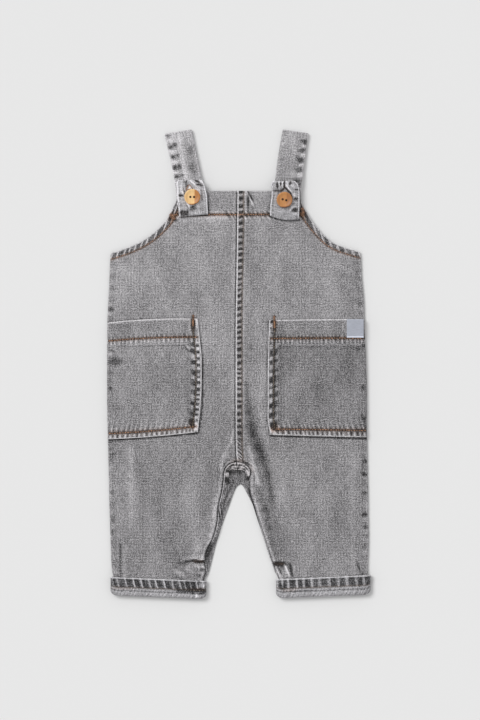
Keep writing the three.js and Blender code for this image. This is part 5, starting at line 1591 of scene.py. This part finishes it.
def pocket_route(side, which, inset):
    """A stitch line of a pocket: its hem, its inner side or its foot."""
    table = columns(POCKET_NAMES, POCKET_ROWS[side])
    knots = distance_along(table["inner_x"], table["inner_y"])
    inward = -1 if side == "left" else 1
    if which == "side":
        at = np.linspace(inset[1], knots[-1] - 6.0, 30)
        x = curve_through(knots, table["inner_x"], at) + inward * inset[0]
        return np.stack([x, curve_through(knots, table["inner_y"], at)], 1)
    at = inset[0] if which == "hem" else knots[-1] - inset[0]
    row = {name: float(curve_through(knots, table[name], np.array([at]))[0]) for name in POCKET_NAMES}
    t = np.linspace(0.004, 1 - inset[1] / 92, 40)
    x = mix(row["outer_x"], row["inner_x"], t)
    y = mix(row["outer_y"], row["inner_y"], t) + row["bow"] * 4 * t * (1 - t)
    return np.stack([x, y], 1)


class DungareesSettings(bpy.types.PropertyGroup):
    """Colours and lighting that a user may change."""

    denim_colour: FloatVectorProperty(
        name="Denim", description="Washed denim between its seams", subtype="COLOR",
        default=(0.31, 0.302, 0.311), min=0, max=1)
    reverse_colour: FloatVectorProperty(
        name="Denim reverse", description="Wrong side of the denim, on the turn-ups and strap ends",
        subtype="COLOR", default=(0.352, 0.346, 0.36), min=0, max=1)
    thread_colour: FloatVectorProperty(
        name="Topstitching", description="Tan sewing thread", subtype="COLOR",
        default=(0.3, 0.155, 0.085), min=0, max=1)
    faded_colour: FloatVectorProperty(
        name="Faded thread", description="Thread washed pale on the centre seam and turn-ups",
        subtype="COLOR", default=(0.15, 0.12, 0.088), min=0, max=1)
    tack_colour: FloatVectorProperty(
        name="Bartacks", description="Rust thread of the bartacks", subtype="COLOR",
        default=(0.27, 0.14, 0.08), min=0, max=1)
    # Near black, so that the thread also paints the shade inside the buttons' holes
    dark_colour: FloatVectorProperty(
        name="Dark thread", description="Thread in the buttons' holes and at the legs' tucks",
        subtype="COLOR", default=(0.03, 0.018, 0.012), min=0, max=1)
    label_colour: FloatVectorProperty(
        name="Label", description="Woven label tape", subtype="COLOR",
        default=(0.39, 0.41, 0.47), min=0, max=1)
    ground_colour: FloatVectorProperty(
        name="Ground", description="Pale surface under the garment", subtype="COLOR",
        default=(0.82, 0.82, 0.82), min=0, max=1)
    lens: FloatProperty(
        name="Lens", description="Camera's focal length in millimetres", default=180.0, min=20, max=250)
    light_softness: FloatProperty(
        name="Light softness", description="Width of the main light in degrees", default=28.0, min=1, max=90)


class DUNGAREES_OT_backs(bpy.types.Operator):
    """Add the two back panels"""
    bl_idname = "dungarees.backs"
    bl_label = "Back panels"

    def execute(self, context):
        for side in SIDES:
            obj = finish_piece(back_panel(side), [f"back_{side}"], "denim", material("denim"))
        return {"FINISHED"}


class DUNGAREES_OT_fronts(bpy.types.Operator):
    """Add the two front panels with their hems and the lapped centre seam"""
    bl_idname = "dungarees.fronts"
    bl_label = "Front panels"

    def execute(self, context):
        for side in SIDES:
            obj = finish_piece(front_panel(side), [f"front_{side}"], "denim", material("denim"))
        return {"FINISHED"}


class DUNGAREES_OT_inseam(bpy.types.Operator):
    """Add the felled inseam over the crotch and down both legs"""
    bl_idname = "dungarees.inseam"
    bl_label = "Inseam"

    def execute(self, context):
        for side in SIDES:
            obj = finish_piece(inseam_strip(side), [f"inseam_{side}"], "denim", material("denim"))
        return {"FINISHED"}


class DUNGAREES_OT_pockets(bpy.types.Operator):
    """Add the two patch pockets"""
    bl_idname = "dungarees.pockets"
    bl_label = "Pockets"

    def execute(self, context):
        for side in SIDES:
            front = PIECES[f"front_{side}"]
            obj = finish_piece(pocket_patch(side, front), [f"pocket_{side}"], "denim", material("denim"))
        return {"FINISHED"}


class DUNGAREES_OT_label(bpy.types.Operator):
    """Add the bare woven label on the right pocket's hem"""
    bl_idname = "dungarees.label"
    bl_label = "Label"

    def execute(self, context):
        pocket = PIECES["pocket_right"]
        obj = finish_piece(label_tape(pocket), ["label"], "label_tape", material("tape"))
        return {"FINISHED"}


class DUNGAREES_OT_straps(bpy.types.Operator):
    """Add the two shoulder straps with their turned-up ends"""
    bl_idname = "dungarees.straps"
    bl_label = "Straps"

    def execute(self, context):
        for side in SIDES:
            obj, length = strap_ribbon(side)
            finish_piece(obj, [f"strap_{side}"], "denim", material("denim"), material("reverse"))
        return {"FINISHED"}


class DUNGAREES_OT_turnups(bpy.types.Operator):
    """Add the two turned-up leg hems"""
    bl_idname = "dungarees.turnups"
    bl_label = "Turn-ups"

    def execute(self, context):
        for side in SIDES:
            obj, around, deep = turnup_ring(side)
            finish_piece(obj, [f"turnup_{side}"], "denim_reverse", material("reverse"))
        return {"FINISHED"}


def bib_stitches(fronts):
    """The bib hem's row of stitches, broken where the straps lie over it."""
    hem_y = BIB_TOP - BIB_HEM
    stitches = stitch_line([(-31, hem_y), (31.5, hem_y + 0.2)], fronts, seed=3)
    stitches += stitch_line([(-68, hem_y - 0.4), (-60.5, hem_y - 0.2)], fronts, seed=4)
    return stitches + stitch_line([(60.5, hem_y - 0.2), (66, hem_y - 0.4)], fronts, seed=5)


def sew_side(side):
    """The rows of stitches of one armhole, pocket and turn-up."""
    pocket, thread, faded = [PIECES[f"pocket_{side}"]], material("thread"), material("faded")
    armhole = stitch_line(armhole_route(side, ARMHOLE_STITCH), [PIECES[f"front_{side}"]], width=0.75, seed=7)
    sew(f"stitching_armhole_{side}", armhole, material("tack"))
    rows = stitch_line(pocket_route(side, "hem", (POCKET_HEM, 3)), pocket, seed=11)
    rows += stitch_line(pocket_route(side, "foot", (POCKET_FOOT, 5)), pocket, seed=13)
    sew(f"stitching_pocket_{side}", rows, thread)
    border = stitch_line(pocket_route(side, "side", (BORDER_STITCH, 2.0)), pocket, width=0.8, seed=12)
    sew(f"stitching_border_{side}", border, faded)
    cuff = CUFFS[side]
    ends = [(cuff["left_x"] + 1.2, cuff["top"][0] - CUFF_STITCH),
            (cuff["right_x"] - 1.2, cuff["top"][1] - CUFF_STITCH)]
    row = stitch_line(ends, [PIECES[f"turnup_{side}"]], pitch=2.8, length=1.7, width=0.55, seed=14)
    sew(f"stitching_turnup_{side}", row, faded)


class DUNGAREES_OT_sewing(bpy.types.Operator):
    """Add the topstitching and bartacks"""
    bl_idname = "dungarees.sewing"
    bl_label = "Sewing"

    def execute(self, context):
        fronts = [PIECES[f"front_{side}"] for side in SIDES]
        sew("stitching_bib", bib_stitches(fronts), material("thread"))
        for side in SIDES:
            sew_side(side)
        centre = stitch_line(centre_route(CENTRE_STITCH, 172.4, -96), fronts,
                             pitch=3.1, length=2.2, width=0.6, seed=17)
        sew("stitching_centre", centre, material("faded"))
        tacks = bartack((-68.6, 150.0), (-64.6, 143.8), fronts, 4.6, 21, 0.75)
        tacks += bartack((63.2, 155.5), (64.4, 147.4), fronts, 3.8, 22, 0.75)
        sew("bartacks_bib", tacks, material("tack"))
        tacks = bartack((-45.8, 48.6), (-45.7, 37.6), [*fronts, PIECES["pocket_left"]], 1.9, 23, 0.7)
        tacks += bartack((35.2, 47.4), (35.4, 36.2), [*fronts, PIECES["pocket_right"]], 1.9, 24, 0.7)
        sew("bartacks_pockets", tacks, material("thread"))
        tacks = bartack((-44.5, -197), (-36.5, -197.4), fronts, 1.5, 25)
        tacks += bartack((36.5, -199.6), (44.5, -199.8), fronts, 2.2, 26)
        sew("bartacks_legs", tacks, material("dark"))
        return {"FINISHED"}


# Buttons

def button_disc(name, centre, across):
    """A dished wooden disc with two thread holes; centre is the middle of its lower face, in metres."""
    bpy.ops.object.select_all(action="DESELECT")
    bpy.ops.mesh.primitive_cylinder_add(vertices=56, radius=BUTTON_RADIUS * MM, depth=BUTTON_HEIGHT * MM,
                                        location=centre + Vector((0, 0, BUTTON_HEIGHT / 2 * MM)))
    disc = bpy.context.object
    disc.name = name
    bpy.ops.object.transform_apply(location=True, rotation=False, scale=False)
    dish_button(disc)
    bevel = disc.modifiers.new("Turned edge", "BEVEL")
    bevel.width = 0.55 * MM
    bevel.segments = 3
    bevel.limit_method = "ANGLE"
    bevel.angle_limit = math.radians(40)
    activate(disc)
    bpy.ops.object.modifier_apply(modifier=bevel.name)
    for way in (-1, 1):
        drill_hole(disc, centre + across * (way * BUTTON_HOLE_SPACING / 2 * MM))
    activate(disc)
    bpy.ops.object.shade_smooth_by_angle(angle=math.radians(40))
    return disc


def dish_button(disc):
    """Sinks the middle of the button's upper face inside a raised rim."""
    activate(disc)
    bpy.ops.object.mode_set(mode="EDIT")
    mesh = bmesh.from_edit_mesh(disc.data)

    def inset_faces(upward, steps):
        bpy.ops.mesh.select_all(action="DESELECT")
        for face in mesh.faces:
            face.select = face.normal.z * upward > 0.9
        bmesh.update_edit_mesh(disc.data)
        for thickness, depth in steps:
            bpy.ops.mesh.inset(thickness=thickness * MM, depth=depth * MM)

    inset_faces(1, [(1.5, 0), (0.9, -0.75), (1.6, -0.12)])
    inset_faces(-1, [(1.6, 0)])
    bpy.ops.object.mode_set(mode="OBJECT")


def drill_hole(disc, spot):
    """Cuts one thread hole right through the button."""
    bpy.ops.object.select_all(action="DESELECT")
    bpy.ops.mesh.primitive_cylinder_add(vertices=20, radius=BUTTON_HOLE_RADIUS * MM, depth=12 * MM,
                                        location=spot)
    drill = bpy.context.object
    cut = disc.modifiers.new("Thread hole", "BOOLEAN")
    cut.operation = "DIFFERENCE"
    cut.solver = "EXACT"
    cut.object = drill
    activate(disc)
    bpy.ops.object.modifier_apply(modifier=cut.name)
    bpy.data.objects.remove(drill)


class DUNGAREES_OT_buttons(bpy.types.Operator):
    """Add the two wooden buttons with their thread and buttonholes"""
    bl_idname = "dungarees.buttons"
    bl_label = "Buttons"

    def execute(self, context):
        for side in SIDES:
            button, strap = BUTTONS[side], [PIECES[f"strap_{side}"]]
            angle = math.radians(button["turn"])
            across = Vector((math.cos(angle), math.sin(angle), 0))
            middle = Vector((button["x"], button["y"], button["base"]))
            disc = button_disc(f"button_{side}_wood", middle * MM, across)
            wood = turned_wood(f"button_{side}_grain", button)
            finish_piece(disc, [f"button_{side}"], "button_wood", wood)
            shank = [(middle + Vector((0, 0, 0.9)), across, BUTTON_HOLE_SPACING + 0.6, 0.8)]
            # The dark thread posts fill the holes, standing in for their shade as well as the thread
            for way in (-1, 1):
                post = middle + across * (way * BUTTON_HOLE_SPACING / 2)
                shank.append((post + Vector((0, 0, 0.7)), across, 2.4, 2.4))
            sew(f"button_{side}_thread", shank, material("dark"))
            lips = []
            for line in BUTTONHOLES[side]:
                lips += stitch_line(line, strap, pitch=0.9, length=0.9, width=0.75, seed=31, sink=0.1)
            sew(f"buttonhole_{side}", lips, material(button["hole_thread"]))
        return {"FINISHED"}


class DUNGAREES_OT_studio(bpy.types.Operator):
    """Add the pale ground, the soft lights and the camera"""
    bl_idname = "dungarees.studio"
    bl_label = "Studio"

    def execute(self, context):
        settings = context.scene.dungarees
        bpy.ops.object.select_all(action="DESELECT")
        bpy.ops.mesh.primitive_plane_add(size=6, location=(0, 0, 0))
        ground = context.object
        ground.name = "ground"
        paper, _, shader = new_material("pale_ground", GROUND_FINISH)
        shader.inputs["Base Color"].default_value = (*settings.ground_colour, 1)
        ground.data.materials.append(paper)

        world = bpy.data.worlds.new("studio_air")
        context.scene.world = world
        world.use_nodes = True
        air = world.node_tree.nodes["Background"]
        air.inputs["Color"].default_value = (1, 1, 1, 1)
        air.inputs["Strength"].default_value = WORLD_STRENGTH

        bpy.ops.object.light_add(type="SUN", location=(-1, 1, 2))
        lamp = context.object
        lamp.name = "large_soft_light"
        lamp.data.energy = KEY_STRENGTH
        lamp.data.angle = math.radians(settings.light_softness)
        lamp.rotation_euler = (-Vector(KEY_FROM)).to_track_quat("-Z", "Y").to_euler()
        context.scene.view_settings.view_transform = "Standard"

        bpy.ops.object.camera_add(location=(0, 0, 0))
        camera = context.object
        camera.name = "camera_overhead"
        camera.data.type = "PERSP"
        camera.data.lens = settings.lens
        camera.data.sensor_width = 36.0
        distance = VIEW_HEIGHT * MM * settings.lens / camera.data.sensor_width
        camera.location = (VIEW_CENTRE[0] * MM, VIEW_CENTRE[1] * MM, distance)
        camera.rotation_euler = (0, 0, 0)
        context.scene.camera = camera
        return {"FINISHED"}


OPERATORS = [
    DUNGAREES_OT_backs, DUNGAREES_OT_fronts, DUNGAREES_OT_inseam, DUNGAREES_OT_pockets,
    DUNGAREES_OT_label, DUNGAREES_OT_straps, DUNGAREES_OT_turnups, DUNGAREES_OT_sewing,
    DUNGAREES_OT_buttons, DUNGAREES_OT_studio,
]


class DUNGAREES_PT_panel(bpy.types.Panel):
    """Lists the garment's pieces in the sidebar"""
    bl_idname = "DUNGAREES_PT_panel"
    bl_label = "Dungarees"
    bl_space_type = "VIEW_3D"
    bl_region_type = "UI"
    bl_category = "Dungarees"

    def draw(self, context):
        settings = context.scene.dungarees
        for name in DungareesSettings.__annotations__:
            self.layout.prop(settings, name)
        for operator in OPERATORS:
            self.layout.operator(operator.bl_idname)


CLASSES = [DungareesSettings, *OPERATORS, DUNGAREES_PT_panel]


def register():
    for cls in CLASSES:
        bpy.utils.register_class(cls)
    bpy.types.Scene.dungarees = PointerProperty(type=DungareesSettings)


def unregister():
    del bpy.types.Scene.dungarees
    for cls in reversed(CLASSES):
        bpy.utils.unregister_class(cls)


def main():
    register()
    bpy.ops.dungarees.backs()
    bpy.ops.dungarees.fronts()
    bpy.ops.dungarees.inseam()
    bpy.ops.dungarees.pockets()
    bpy.ops.dungarees.label()
    bpy.ops.dungarees.straps()
    bpy.ops.dungarees.turnups()
    bpy.ops.dungarees.sewing()
    bpy.ops.dungarees.buttons()
    bpy.ops.dungarees.studio()


if __name__ == "__main__":
    main()
